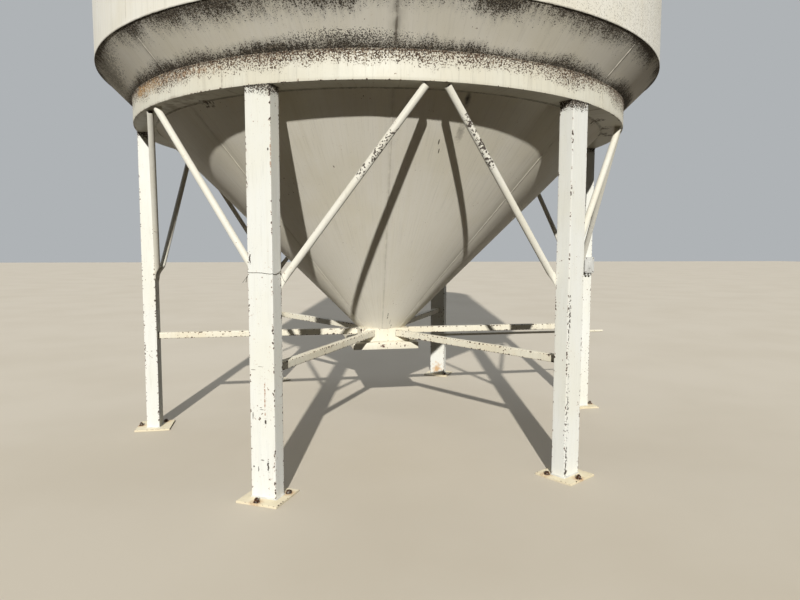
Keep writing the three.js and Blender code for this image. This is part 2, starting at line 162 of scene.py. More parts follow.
class Coat:
    """The colour, roughness and height of one finish while its layers are laid."""

    def __init__(self, name: str, colour: str, roughness: float) -> None:
        """Starts with the ground coat.

        Args:
            name: the material's name.
            colour: the ground colour, as sRGB hex.
            roughness: the ground roughness.
        """
        self.material = bpy.data.materials.new(name)
        self.material.use_nodes = True
        self.material.node_tree.nodes.clear()
        self.node = partial(add_node, self.material.node_tree)
        self.colour: Input = linear(colour)
        self.roughness: Input = roughness
        self.height: Input = 0.0
        self.metallic = 0.0
        self.place = self.node("ShaderNodeTexCoord").outputs["Object"]
        self.level = self.node("ShaderNodeSeparateXYZ", {0: self.place}).outputs["Z"]

    def measure(self, measure: Measure) -> Socket:
        """Reads one of the piece's measures."""
        return self.node("ShaderNodeAttribute", attribute_name=measure.value).outputs["Fac"]

    def falling(self, stretch: float, round_silo: bool) -> Socket:
        """Coordinates whose patterns are drawn out the way that rain runs.

        Args:
            stretch: how many times longer than wide the patterns are.
            round_silo: whether the runs follow the round shell and its cone, or an upright part.

        Returns:
            The coordinates, in metres across the runs.
        """
        level = (1.0, 1.0, 0.0)
        flat = self.node("ShaderNodeVectorMath", {0: self.place, 1: level}, operation="MULTIPLY").outputs[0]
        if round_silo:
            unit = self.node("ShaderNodeVectorMath", {0: flat}, operation="NORMALIZE").outputs[0]
            flat = self.node("ShaderNodeVectorMath", {0: unit, "Scale": 2.0}, operation="SCALE").outputs[0]
        drop = self.node("ShaderNodeMath", {0: self.level, 1: 1 / stretch}, operation="MULTIPLY").outputs[0]
        down = self.node("ShaderNodeCombineXYZ", {"Z": drop}).outputs[0]
        return self.node("ShaderNodeVectorMath", {0: flat, 1: down}, operation="ADD").outputs[0]

    def cloud(self, size: float, low: float, high: float, where: Socket | None = None, seed: float = 0.0,
              detail: float = 2.0, leave: tuple[float, float] = (0.0, 1.0)) -> Socket:
        """An uneven pattern, such as blotches, flecks or runs.

        Args:
            size: how far apart its blotches are, in metres.
            low: the noise value where a blotch begins.
            high: the noise value where it is full.
            where: the coordinates, or none for the part's own.
            seed: another number gives another pattern.
            detail: how many finer layers roughen the blotches.
            leave: the shares outside and inside a blotch.

        Returns:
            The share at each point.
        """
        inputs = {"Vector": where or self.place, "W": seed, "Scale": 1 / size, "Detail": detail}
        grain = self.node("ShaderNodeTexNoise", inputs, noise_dimensions="4D").outputs["Fac"]
        spread = {0: grain, 1: low, 2: high, 3: leave[0], 4: leave[1]}
        return self.node("ShaderNodeMapRange", spread, interpolation_type="SMOOTHSTEP").outputs[0]

    def where_all(self, *shares: Input) -> Socket:
        """The share that is left where several shares meet.

        Args:
            *shares: the shares, of which the first is a socket.

        Returns:
            Their product.
        """
        met = shares[0]
        for share in shares[1:]:
            met = self.node("ShaderNodeMath", {0: met, 1: share}, operation="MULTIPLY").outputs[0]
        return met

    def slope(self, value: Input, start: float, end: float,
              leave: tuple[float, float] = (0.0, 1.0)) -> Socket:
        """Turns a measure into a share.

        Args:
            value: the measure.
            start: where the share begins to change.
            end: where it stops changing.
            leave: the shares at start and at end.

        Returns:
            The share.
        """
        spread = {0: value, 1: start, 2: end, 3: leave[0], 4: leave[1]}
        return self.node("ShaderNodeMapRange", spread).outputs[0]

    def lay(self, share: Input, colour: str | Socket, roughness: float | None = None,
            height: float | None = None) -> None:
        """Lays a layer over the finish.

        Args:
            share: how much of it lies at each point.
            colour: its colour, as sRGB hex or a socket.
            roughness: its roughness, if it differs.
            height: how high it stands over the ground coat, in metres.
        """
        top = linear(colour) if isinstance(colour, str) else colour
        mix = {0: share, 6: self.colour, 7: top}
        self.colour = self.node("ShaderNodeMix", mix, data_type="RGBA").outputs[2]
        if roughness is not None:
            mix = {0: share, 2: self.roughness, 3: roughness}
            self.roughness = self.node("ShaderNodeMix", mix).outputs[0]
        if height is not None:
            self.height = self.node("ShaderNodeMix", {0: share, 2: self.height, 3: height}).outputs[0]

    def dried(self, ior: float | None = None, chalk: float = 0.0) -> Material:
        """Joins the layers to a shader.

        Args:
            ior: the refractive index, or none for the shader's own.
            chalk: how powdery the film is, from 0 to 1.

        Returns:
            The finished material.
        """
        ways: dict[str | int, Input] = {"Base Color": self.colour, "Roughness": self.roughness,
                                        "Metallic": self.metallic, "Diffuse Roughness": chalk}
        if isinstance(self.height, Socket):
            relief = self.node("ShaderNodeBump", {"Height": self.height, "Distance": 1.0, "Strength": 0.8})
            ways["Normal"] = relief.outputs[0]
        if ior is not None:
            ways["IOR"] = ior
        shader = self.node("ShaderNodeBsdfPrincipled", ways)
        self.node("ShaderNodeOutputMaterial", {"Surface": shader.outputs[0]})
        return self.material


# ---- Finishes ----


@dataclass(frozen=True)
class Lichen:
    """A belt of dark lichen round the silo, where rain water stands and dries last."""

    root: float  # the height where it is densest, in metres
    reach: float  # how far up from there it thins out, or down if negative
    density: float  # how closely its crust covers the root
    soot: float  # how strongly the paint under it is darkened
    shades: tuple[str, str, str] = ("#25211B", "#4F473B", "#857B6B")  # its darkest, middle and palest colours
    grain: float = 0.006  # how far apart its crusts are, in metres
    fade: float = 2.0  # above 1 it thins out near its root, below 1 near its far edge

    def grow(self, coat: Coat, rain: Socket) -> None:
        """Lays this belt over a coat of paint.

        Args:
            coat: the paint.
            rain: coordinates that follow the rain.
        """
        wander = coat.cloud(0.35, 0.3, 0.7, seed=self.root + 3, leave=(-0.3, 0.3))
        ragged = coat.cloud(0.022, 0.3, 0.7, rain, seed=self.root + 5, detail=3.0, leave=(-0.13, 0.13))
        shift = coat.node("ShaderNodeMath", {0: wander, 1: ragged}, operation="ADD").outputs[0]
        shifted = {0: shift, 1: self.reach, 2: coat.level}
        near = coat.node("ShaderNodeMath", shifted, operation="MULTIPLY_ADD").outputs[0]
        depth = coat.slope(near, self.root + self.reach, self.root)
        side = coat.slope(coat.level, self.root - math.copysign(0.012, self.reach), self.root)
        depth = coat.where_all(depth, side)
        dense = coat.node("ShaderNodeMath", {0: depth, 1: self.fade}, operation="POWER").outputs[0]
        coat.lay(coat.where_all(dense, self.soot), self.shades[1], 0.8)
        grains = coat.cloud(self.grain, 0.22, 0.78, seed=self.root, detail=3.0)
        piled = {0: dense, 1: self.density, 2: grains}
        thick = coat.node("ShaderNodeMath", piled, operation="MULTIPLY_ADD").outputs[0]
        crust = coat.where_all(coat.slope(thick, 0.86, 0.98), coat.slope(depth, 0.0, 0.08))
        shade = coat.cloud(self.grain * 0.7, 0.42, 0.58, seed=self.root + 7, detail=1.0)
        pale = coat.cloud(self.grain * 1.3, 0.54, 0.64, seed=self.root + 9, detail=1.0)
        tone: Input = linear(self.shades[0])
        for share, colour in ((shade, self.shades[1]), (pale, self.shades[2])):
            mix = {0: share, 6: tone, 7: linear(colour)}
            tone = coat.node("ShaderNodeMix", mix, data_type="RGBA").outputs[2]
        coat.lay(crust, tone, 0.95, 0.0012)


@dataclass(frozen=True)
class Mark:
    """One place where the enamel is scratched, chipped or stained."""

    place: tuple[float, float, float]  # its middle, in metres
    reach: tuple[float, float, float]  # how far it spreads along x, y and z, in metres
    colour: str = "#33271F"  # what shows there, as sRGB hex
    broken: float = 0.7  # how broken up it is, from 0 for one clean patch
    cover: float = 0.95  # how fully it covers the enamel
    grain: float = 0.014  # how far apart its broken bits are, in metres
    soft: float = 0.3  # how wide its edge fades, as a share of its reach

    def lay_on(self, coat: Coat) -> None:
        """Lays the mark over a coat of paint.

        Args:
            coat: the paint.
        """
        away = coat.place
        for operation, by in (("SUBTRACT", self.place), ("DIVIDE", self.reach)):
            away = coat.node("ShaderNodeVectorMath", {0: away, 1: by}, operation=operation).outputs[0]
        length = coat.node("ShaderNodeVectorMath", {0: away}, operation="LENGTH").outputs["Value"]
        leave = (self.broken, -self.broken * 0.4)
        torn = coat.cloud(self.grain, 0.3, 0.7, seed=self.place[2] * 7, detail=3.0, leave=leave)
        edge = coat.node("ShaderNodeMath", {0: length, 1: torn}, operation="ADD").outputs[0]
        coat.lay(coat.slope(edge, 1.05, 1.05 - self.soft, (0.0, self.cover)), self.colour, 0.85)


@dataclass(frozen=True)
class CreamEnamel:
    """Cream machinery enamel, sprayed on welded mild steel and left out in the weather.

    The binder has chalked, so it is satin and not glossy, paler where the sun reaches it and warmer in
    the shade. It chips to dark scale along corners, and rust creeps out from under the chips.
    """

    name: str  # the material's name
    colour: str = "#E9E6DA"  # the paint's main colour, as sRGB hex
    warm: str = "#DED7C2"  # its yellower colour in sheltered patches
    roughness: float = 0.5  # of the chalked film
    runs: float = 0.3  # how strongly grey rain runs show
    flecks: float = 0.15  # how strongly fine dirt shows
    chips: float = 0.3  # how large a share has chipped, about 0 to 1
    corner_wear: float = 0.0  # how far from a corner the chips gather, in metres
    knocked_below: float = 0.001  # the height below which barrows and boots have chipped it more, in metres
    rust: float = 0.5  # how strongly rust shows round the chips
    round_silo: bool = False  # whether the rain runs follow the round shell
    lichen: tuple[Lichen, ...] = ()  # the belts of lichen on it
    marks: tuple[Mark, ...] = ()  # single places where it is damaged or stained

    def made(self) -> Material:
        """Builds the material.

        Returns:
            The finish.
        """
        coat = Coat(self.name, self.colour, self.roughness)
        runs = coat.falling(14.0, self.round_silo)
        # Sheltered patches about a hand wide keep more of the yellow binder.
        coat.lay(coat.cloud(0.45, 0.42, 0.66, detail=3.0, leave=(0.0, 0.6)), self.warm)
        # Spray bands and brush marks, 30 mm wide: they only show as uneven sheen.
        bands = coat.cloud(0.03, 0.35, 0.7, runs, seed=1.0, leave=(0.0, 0.25))
        coat.lay(bands, self.warm, self.roughness + 0.14)
        # Rain carries grey dust down in runs about 20 mm wide.
        broad = coat.cloud(0.3, 0.4, 0.62, seed=2.0)
        streak = coat.cloud(0.022, 0.5, 0.72, runs, seed=3.0, detail=3.0)
        coat.lay(coat.where_all(streak, broad, self.runs), "#7F7A6B", 0.7)
        fine = coat.cloud(0.007, 0.55, 0.7, runs, seed=4.0, detail=1.0)
        coat.lay(coat.where_all(fine, self.runs * 0.6), "#8B8574", 0.66)
        # Dirt specks of 3 to 5 mm, drawn a little coarser than real so that they show.
        speck = coat.cloud(0.009, 0.69, 0.73, seed=5.0, detail=1.0)
        coat.lay(coat.where_all(speck, self.flecks), "#6A6152", 0.75)
        self.dirty_welds(coat)
        self.chipped(coat)
        rain = coat.falling(2.0, self.round_silo)
        for belt in self.lichen:
            belt.grow(coat, rain)
        self.stained(coat, runs)
        for mark in self.marks:
            mark.lay_on(coat)
        return coat.dried(ior=FILM_IOR, chalk=CHALKED)

    def dirty_welds(self, coat: Coat) -> None:
        """Lays grime on the welds, where the film is thin and holds dirt.

        Args:
            coat: the paint.
        """
        weld = coat.measure(Measure.WELD)
        patchy = coat.cloud(0.05, 0.3, 0.6, seed=6.0, leave=(0.25, 1.0))
        coat.lay(coat.where_all(weld, patchy, 0.85), "#5A5143", 0.75)

    def chipped(self, coat: Coat) -> None:
        """Chips the paint down to dark scale, mostly along corners, with rust round the chips.

        Args:
            coat: the paint.
        """
        grain = coat.cloud(0.016, 0.2, 0.8, seed=8.0, detail=3.0)
        patch = coat.cloud(0.22, 0.35, 0.7, seed=9.0, leave=(-0.1, 0.1))
        knocked = coat.slope(coat.level, self.knocked_below, 0.0, (0.0, 0.08))
        patch = coat.node("ShaderNodeMath", {0: patch, 1: knocked}, operation="ADD").outputs[0]
        loose = coat.node("ShaderNodeMath", {0: grain, 1: patch}, operation="ADD").outputs[0]
        if self.corner_wear > 0:
            corner = coat.measure(Measure.CORNER)
            wear = coat.slope(corner, 0.0, self.corner_wear, (0.27, 0.0))
            loose = coat.node("ShaderNodeMath", {0: loose, 1: wear}, operation="ADD").outputs[0]
        edge = 1.02 - 0.16 * self.chips
        halo = coat.slope(loose, edge - 0.1, edge + 0.02)
        coat.lay(coat.where_all(halo, self.rust), "#A9794A", 0.8)
        chip = coat.slope(loose, edge, edge + 0.02)
        coat.lay(chip, "#3A2D25", 0.85, -0.0004)

    def stained(self, coat: Coat, runs: Socket) -> None:
        """Lets rust water run where the piece's stain measure says.

        Args:
            coat: the paint.
            runs: coordinates that follow the rain.
        """
        stain = coat.measure(Measure.STAIN)
        uneven = coat.cloud(0.02, 0.25, 0.6, runs, seed=11.0, detail=3.0, leave=(0.2, 1.0))
        coat.lay(coat.where_all(stain, uneven), "#B07B3F", 0.8)
        core = coat.where_all(stain, stain, coat.cloud(0.012, 0.45, 0.6, seed=12.0))
        coat.lay(core, "#6B3F22", 0.85)


@dataclass(frozen=True)
class MillSteel:
    """Hot-rolled steel plate with its mill scale, worn bright in lines by grain and by the rails.

    The scale gives a dark blue-brown satin, the wear pale scratches along the travel, and rust a dry bloom.
    """

    name: str  # the material's name
    colour: str = "#6E6A66"  # the scale's colour
    worn: str = "#B4B0A8"  # the bright metal's colour

    def made(self) -> Material:
        """Builds the material.

        Returns:
            The finish.
        """
        coat = Coat(self.name, self.colour, 0.48)
        coat.metallic = 0.85
        travel = (1.0, 0.03, 1.0)  # the patterns are drawn out along y
        along = coat.node("ShaderNodeVectorMath", {0: coat.place, 1: travel}, operation="MULTIPLY").outputs[0]
        # Scratches about 1.5 mm apart, drawn 4 mm apart so that they show.
        scratch = coat.cloud(0.004, 0.5, 0.68, along, detail=1.0)
        coat.lay(coat.where_all(scratch, coat.cloud(0.12, 0.35, 0.65, seed=1.0)), self.worn, 0.32, 0.0001)
        bloom = coat.cloud(0.06, 0.5, 0.66, seed=2.0, detail=4.0)
        specks = coat.cloud(0.008, 0.35, 0.6, seed=3.0)
        coat.lay(coat.where_all(bloom, specks), "#5A3B28", 0.82, -0.0001)
        return coat.dried()


@dataclass(frozen=True)
class RustedZinc:
    """Zinc plating that has mostly rusted away: brown, with grey remains."""

    name: str  # the material's name
    rusted: float = 0.7  # the share of the surface that has rusted, about 0 to 1

    def made(self) -> Material:
        """Builds the material.

        Returns:
            The finish.
        """
        coat = Coat(self.name, "#8A8880", 0.5)
        coat.metallic = 0.55
        edge = 0.68 - 0.4 * self.rusted
        coat.lay(coat.cloud(0.012, edge, edge + 0.12, detail=3.0), "#5B3A22", 0.85, 0.0002)
        coat.lay(coat.cloud(0.006, 0.52, 0.62, seed=2.0), "#3A281C", 0.9)
        return coat.dried()


@dataclass(frozen=True)
class GreyEnamel:
    """Light grey stove enamel: satin, a little dusty and rubbed at its rim."""

    name: str
    colour: str = "#C2C2BD"

    def made(self) -> Material:
        """Builds the material.

        Returns:
            The finish.
        """
        coat = Coat(self.name, self.colour, 0.42)
        # The stove leaves an orange peel of about 2 mm, drawn at 3 mm.
        peel = coat.cloud(0.003, 0.3, 0.7, detail=1.0)
        coat.lay(coat.where_all(peel, 0.2), "#B4B4AE", 0.46, 0.00003)
        runs = coat.falling(8.0, False)
        coat.lay(coat.where_all(coat.cloud(0.01, 0.48, 0.7, runs, seed=1.0), 0.45), "#85827A", 0.6)
        rubbed = coat.slope(coat.measure(Measure.CORNER), 0.0, 0.004, (0.7, 0.0))
        coat.lay(coat.where_all(rubbed, coat.cloud(0.008, 0.45, 0.6, seed=2.0)), "#6B6862", 0.5)
        return coat.dried(ior=FILM_IOR)


@dataclass(frozen=True)
class BlackBore:
    """The inside of pipes and tubes, never painted: dull black scale with brown rust dust."""

    name: str

    def made(self) -> Material:
        """Builds the material.

        Returns:
            The finish.
        """
        coat = Coat(self.name, "#2A2522", 0.85)
        coat.lay(coat.cloud(0.02, 0.42, 0.62, detail=3.0), "#4A3122", 0.92)
        return coat.dried(ior=FILM_IOR)


@dataclass(frozen=True)
class StudioFloor:
    """A floated concrete floor: pale, matt and nearly even."""

    name: str
    colour: str = "#D6CCBA"

    def made(self) -> Material:
        """Builds the material.

        Returns:
            The finish.
        """
        coat = Coat(self.name, self.colour, 0.85)
        coat.lay(coat.cloud(1.4, 0.35, 0.7, detail=4.0, leave=(0.0, 0.5)), "#CCC1AD")
        return coat.dried(ior=FILM_IOR)


Finish = CreamEnamel | MillSteel | RustedZinc | GreyEnamel | BlackBore


# ---- Drawing steel ----


class Plating:
    """The steel of one piece while it is drawn."""

    def __init__(self, azimuth: float = 0.0) -> None:
        """Starts with no steel.

        Args:
            azimuth: where round the silo the piece stands. It is drawn at azimuth 0, on the near side.
        """
        self.turn = Matrix.Rotation(math.radians(azimuth), 4, "Z")
        self.points: list[Vector] = []
        self.faces: list[tuple[int, ...]] = []
        self.skins: list[int] = []
        self.skin = 0
        self.values: dict[Measure, list[float]] = {measure: [] for measure in Measure}

    def keep(self, points: Sequence[Vector], corners: Spread = FAR, welds: Spread = 0.0) -> int:
        """Keeps points of the piece.

        Args:
            points: the points, as drawn at azimuth 0.
            corners: their distances from the nearest sharp corner.
            welds: how dirty the weld is at them.

        Returns:
            The number of the first of them.
        """
        first = len(self.points)
        self.points.extend(self.turn @ point for point in points)
        for measure, known in ((Measure.CORNER, corners), (Measure.WELD, welds), (Measure.STAIN, 0.0)):
            self.values[measure].extend([known] * len(points) if isinstance(known, float) else known)
        return first

    def face(self, *corners: int) -> None:
        """Adds one face in the present skin."""
        self.faces.append(corners)
        self.skins.append(self.skin)

    def band(self, here: int, there: int, many: int) -> None:
        """Joins two kept loops, of as many points each, with a band of faces."""
        for k, n in enumerate((*range(1, many), 0)):
            self.face(here + k, here + n, there + n, there + k)

    def loft(self, loops: Sequence[Loop], corners: Spread = FAR, welds: Spread = 0.0, along: bool = False,
             skins: Sequence[int] = ()) -> None:
        """Skins a row of matching closed loops, and fills its ends unless they join.

        Args:
            loops: the loops, one after another along the piece.
            corners: for the points of each loop, the distance from the nearest sharp corner.
            welds: for each loop, how dirty the weld is.
            along: whether the last loop joins the first.
            skins: the skin from each loop to the next, or none for the present one.
        """
        many, rows = len(loops[0]), len(loops)
        grime = [welds] * rows if isinstance(welds, float) else welds
        starts = [self.keep(loop, corners, dirt) for loop, dirt in zip(loops, grime)]
        for row in range(rows if along else rows - 1):
            self.skin = skins[row] if skins else self.skin
            self.band(starts[row], starts[(row + 1) % rows], many)
        if not along:
            self.face(*(starts[0] + k for k in reversed(range(many))))
            self.face(*(starts[-1] + k for k in range(many)))

    def slab(self, front: Sequence[Loop], back: Sequence[Loop], corners: Sequence[Sequence[float]] = (),
             welds: Sequence[Sequence[float]] = ()) -> None:
        """Fills a sheet between two matching grids of points.

        Args:
            front: the rows of the sheet's face.
            back: the rows of its other face.
            corners: for each point of the front, its distance from the nearest sharp corner.
            welds: for each point of the front, how dirty the weld is.
        """
        columns = len(front[0])
        starts = []
        for r, row in enumerate(front):
            near = list(corners[r]) if corners else [FAR] * columns
            grime = list(welds[r]) if welds else [0.0] * columns
            loop = [*row, *reversed(back[r])]
            starts.append(self.keep(loop, near + [FAR] * columns, grime + [0.0] * columns))
        many = 2 * columns
        for here, there in zip(starts, starts[1:]):
            self.band(here, there, many)
        for start in (starts[0], starts[-1]):
            for k in range(columns - 1):
                self.face(start + k, start + k + 1, start + many - 2 - k, start + many - 1 - k)

    def weld(self, line: WeldLine, wide: float, high: float | None = None, closed: bool = False,
             dirt: Spread = 0.5) -> None:
        """Lays a weld along a line: a fillet in a corner, or a bead over a butt joint.

        Args:
            line: points of the joint, each with two directions: away from it on the one face and on the
                other for a fillet, across it and out of the sheet for a bead.
            wide: a fillet's leg length, or half of a bead's width.
            high: how far a bead's crown stands out, or none for a fillet.
            closed: whether the line runs round to its start.
            dirt: how dirty the weld is, at each point or for all.
        """
        profile, ripples = (FILLET, 90) if high is None else (BEAD, 70)
        high = wide if high is None else high
        loops = []
        for point, one, other in line:
            swell = 1 + 0.3 * noise.noise((self.turn @ point) * ripples)
            loops.append([point + one * (a * wide * swell) + other * (b * high * swell) for a, b in profile])
        self.loft(loops, FAR, dirt, along=closed)

    def spun(self, profile: Outline, sides: int) -> None:
        """Spins a closed profile of radii and heights round the silo's centre line."""
        self.loft([[polar(r, a, z) for r, z in profile] for a in around(sides)], along=True)

    def turned(self, foot: Vector, axes: tuple[Vector, Vector, Vector], profile: Outline, sides: int,
               start: float = 0.0) -> None:
        """Draws a turned or hexagonal part with closed ends.

        Args:
            foot: where its axis starts.
            axes: the way that its axis runs, and two directions across it.
            profile: distances along the axis, each with a radius.
            sides: how many sides it has.
            start: how far round its first corner stands, in degrees.
        """
        along, one, other = axes
        self.loft([circle(foot + along * far, one, other, radius, sides, start) for far, radius in profile])

    def stained(self, centre: Vector, radius: float) -> None:
        """Marks where rust has run from a place.

        Args:
            centre: the place, as drawn at azimuth 0.
            radius: how far the stain spreads, in metres.
        """
        source, stains = self.turn @ centre, self.values[Measure.STAIN]
        for k, point in enumerate(self.points):
            stains[k] = max(stains[k], 1 - (point - source).length / radius)

    def piece(self, name: str, finishes: Sequence[Material], stands_for: Sequence[str] = (),
              body: Body = Body.SILO, slot: Slot = Slot.CREAM) -> None:
        """Makes the drawn steel into a piece of the scene.

        Args:
            name: the piece's name.
            finishes: the materials of its skins.
            stands_for: the CAD nodes that it replaces.
            body: the body that it rides on.
            slot: passed on to place, where it is not used.
        """
        mesh = bpy.data.meshes.new(name)
        mesh.from_pydata(self.points, [], self.faces)
        for measure, values in self.values.items():
            mesh.attributes.new(measure.value, "FLOAT", "POINT").data.foreach_set("value", values)
        for finish in finishes:
            mesh.materials.append(finish)
        mesh.polygons.foreach_set("material_index", self.skins)
        work = bmesh.new()
        work.from_mesh(mesh)
        bmesh.ops.recalc_face_normals(work, faces=work.faces)
        work.to_mesh(mesh)
        work.free()
        place(name, mesh, stands_for, body, slot)


def place(name: str, mesh: bpy.types.Mesh, stands_for: Sequence[str], body: Body, slot: Slot) -> None:
    """Puts a piece in the scene and says what it rides on and stands for.

    Args:
        name: the piece's name.
        mesh: its shape.
        stands_for: the CAD nodes that it replaces.
        body: the body that it rides on.
        slot: not used.
    """
    piece = bpy.data.objects.new(name, mesh)
    bpy.context.scene.collection.objects.link(piece)
    mesh.shade_smooth()
    mesh.set_sharp_from_angle(angle=SMOOTH_UNDER)
    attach(piece, body.value)
    if stands_for:
        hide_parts(*stands_for)
    log.info("%s: %d faces, rides on %s", name, len(mesh.polygons), body.value)


def polar(radius: float, azimuth: float, height: float) -> Vector:
    """A point from its distance to the centre line, its azimuth in degrees and its height."""
    angle = math.radians(azimuth)
    return Vector((radius * math.sin(angle), -radius * math.cos(angle), height))


def facing(azimuth: float) -> tuple[Vector, Vector]:
    """The directions along the shell and out of it at an azimuth."""
    return polar(1.0, azimuth + 90, 0.0), polar(1.0, azimuth, 0.0)


def steps(start: float, end: float, count: int) -> list[float]:
    """Evenly spaced values from start to end, with count spaces."""
    return [start + (end - start) * k / count for k in range(count + 1)]


def around(count: int) -> list[float]:
    """As many azimuths, evenly spaced all round."""
    return steps(0.0, 360.0, count)[:-1]


def circle(middle: Vector, one: Vector, other: Vector, radius: float, sides: int, start: float = 0.0) -> Loop:
    """A loop of points at a radius, in the plane of two directions, from a start in degrees."""
    angles = (math.radians(start + 360 * k / sides) for k in range(sides))
    return [middle + (one * math.cos(a) + other * math.sin(a)) * radius for a in angles]


def waves(point: Vector, size: float, depth: float) -> float:
    """How far hand-rolled sheet stands out of true at a point, with waves of a size and a depth."""
    return noise.noise(point / size) * depth


def clamp(value: float, limit: float) -> float:
    """A value, held between a limit and its opposite."""
    return max(-limit, min(limit, value))


def level(outline: Outline, height: float, back: float = 0.0) -> Loop:
    """An outline laid level at a height, about a place on the near side."""
    return [Vector((x, y - back, height)) for x, y in outline]


def rounded_rectangle(width: float, depth: float, radius: float,
                      stops: tuple[int, int] = (1, 1)) -> tuple[Outline, list[float]]:
    """The outline of a folded or drawn tube, counter-clockwise about its middle.

    Args:
        width: its size along x.
        depth: its size along y.
        radius: of its corners.
        stops: how many points stand between the corners along x and along y.

    Returns:
        The points, and the distance of each from the nearest corner.
    """
    outline: list[tuple[float, float]] = []
    corners: list[float] = []
    near = 0.012  # a point this close to each corner keeps the flat faces flat
    for k, (sx, sy) in enumerate(((1, -1), (1, 1), (-1, 1), (-1, -1))):
        x, y = sx * (width / 2 - radius), sy * (depth / 2 - radius)
        for turn in steps(-90 + 90 * k, 90 * k, ARC_FLATS):
            angle = math.radians(turn)
            outline.append((x + radius * math.cos(angle), y + radius * math.sin(angle)))
            corners.append(0.0)
        length, count = (width - 2 * radius, stops[0]) if k % 2 else (depth - 2 * radius, stops[1])
        edge = min(near, length / 4)
        heading = math.radians(90 * (k + 1))
        x, y = outline[-1]
        for distance in [edge, *steps(edge, length - edge, count + 1)[1:-1], length - edge]:
            outline.append((x + distance * math.cos(heading), y + distance * math.sin(heading)))
            corners.append(min(distance, length - distance))
    return outline, corners


# ---- The plan ----


@dataclass(frozen=True)
class Block:
    """A CAD node's box, from its lowest to its highest corner."""

    low: Vector
    high: Vector

    @classmethod
    def of(cls, node: str) -> "Block":
        """Reads a node's box from the frame."""
        return cls(*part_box(node))

    @property
    def size(self) -> Vector:
        """The box's width, depth and height."""
        return self.high - self.low

    @property
    def middle(self) -> Vector:
        """The middle of the box."""
        return (self.high + self.low) / 2


def radii(node: str) -> list[float]:
    """How far each point of a CAD node is from the centre line."""
    return [math.hypot(v.co.x, v.co.y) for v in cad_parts[node].data.vertices]


@dataclass(frozen=True)
class SiloPlan:
    """The silo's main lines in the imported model, in metres."""

    shell_radius: float  # the outside of the wall
    hopper_top: float  # where the wall meets the cone
    hopper_foot: float  # where the cone meets the outlet
    wall_top: float  # where the wall meets the roof
    ring_radius: float  # the outside of the ring beam
    ring_bottom: float  # its underside
    ring_top: float  # where its band meets the cone
    leg_width: float  # a leg's width along the ring
    leg_depth: float  # its depth towards the centre line
    leg_radius: float  # its middle's distance from the centre line
    plate_side: float  # a base plate's side
    plate_top: float  # its upper face
    collar_half: float  # half of the side of the outlet's collar

    @classmethod
    def measured(cls) -> "SiloPlan":
        """Reads the lines from the frame.

        Returns:
            The plan.
        """
        wall, gore, ring = Block.of("wall_panel_1"), Block.of("hopper_gore_1"), Block.of("ring_segment_1")
        leg, plate, collar = Block.of("leg_3"), Block.of("base_plate_3"), Block.of("outlet_collar")
        return cls(
            shell_radius=max(radii("wall_panel_1")), hopper_top=gore.high.z, hopper_foot=gore.low.z,
            wall_top=wall.high.z, ring_radius=max(radii("ring_segment_1")), ring_bottom=ring.low.z,
            ring_top=ring.high.z, leg_width=leg.size.y, leg_depth=leg.size.x, leg_radius=leg.middle.x,
            plate_side=plate.size.y, plate_top=plate.high.z, collar_half=collar.size.x / 2,
        )

    def cone_radius(self, height: float) -> float:
        """The cone's outside at a height, on its slope of 45 degrees."""
        return self.shell_radius - (self.hopper_top - height)


@dataclass(frozen=True)
class Part:
    """What every sub-assembly goes by."""

    plan: SiloPlan  # the silo's main lines
    coat: dict[Cover, Material]  # the finishes, by what they cover

    def tube(self, cover: Cover) -> list[Material]:
        """A tube's finishes, outside and inside."""
        return [self.coat[cover], self.coat[Cover.BORE]]


# ---- Shell ----


@dataclass(frozen=True)
class WallShell(Part):
    """The round wall: three courses of rolled sheet, butt-welded to one another."""

    courses: int = 3  # how many stand on one another
    sheets: int = 4  # how many make a course
    first_seam: float = -52.0  # the azimuth of the lowest course's first upright seam
    stagger: float = 22.5  # how far each course's seams are turned from those below
    thickness: float = 0.006  # of the sheet, as the CAD has it
    bead: float = 0.005  # half of a weld's width
    crown: float = 0.0018  # how far a weld stands out
    wave: tuple[float, float] = (0.7, 0.003)  # the length and depth of the sheet's waves
    true_within: float = 0.3  # how far from its ends the wall is held nearly round

    def build(self) -> None:
        """Builds the courses, each a closed ring of sheet with its welds."""
        plan = self.plan
        inside = plan.shell_radius - self.thickness
        heights = steps(plan.hopper_top, plan.wall_top, self.courses)
        for k, (low, high) in enumerate(zip(heights, heights[1:])):
            steel = Plating()
            loops = []
            for azimuth in around(180):
                outer = [self.surface(azimuth, z) for z in steps(low, high, 8)]
                loops.append(outer + [polar(inside, azimuth, z) for z in (high, low)])
            steel.loft(loops, along=True)
            girth = [(self.surface(a, low), UP, polar(1.0, a, 0.0)) for a in around(720)]
            steel.weld(girth, self.bead, self.crown, closed=True, dirt=0.35)
            for sheet in range(self.sheets):
                azimuth = self.first_seam + self.stagger * k + 360 * sheet / self.sheets
                upright = [(self.surface(azimuth, z), *facing(azimuth)) for z in steps(low, high, 90)]
                steel.weld(upright, self.bead, self.crown, dirt=0.3)
            nodes = [] if k else [f"wall_panel_{n}" for n in range(1, 5)]
            steel.piece(f"wall_course_{k + 1}", [self.coat[Cover.WALL]], nodes)

    def surface(self, azimuth: float, height: float) -> Vector:
        """A point of the wall's outside, which is never quite round.

        Args:
            azimuth: its azimuth, in degrees.
            height: its height.

        Returns:
            The point.
        """
        plan = self.plan
        point = polar(plan.shell_radius, azimuth, height)
        ends = min(height - plan.hopper_top, plan.wall_top - height)
        out = waves(point, *self.wave) * min(1.0, ends / self.true_within)
        return polar(plan.shell_radius + out, azimuth, height)


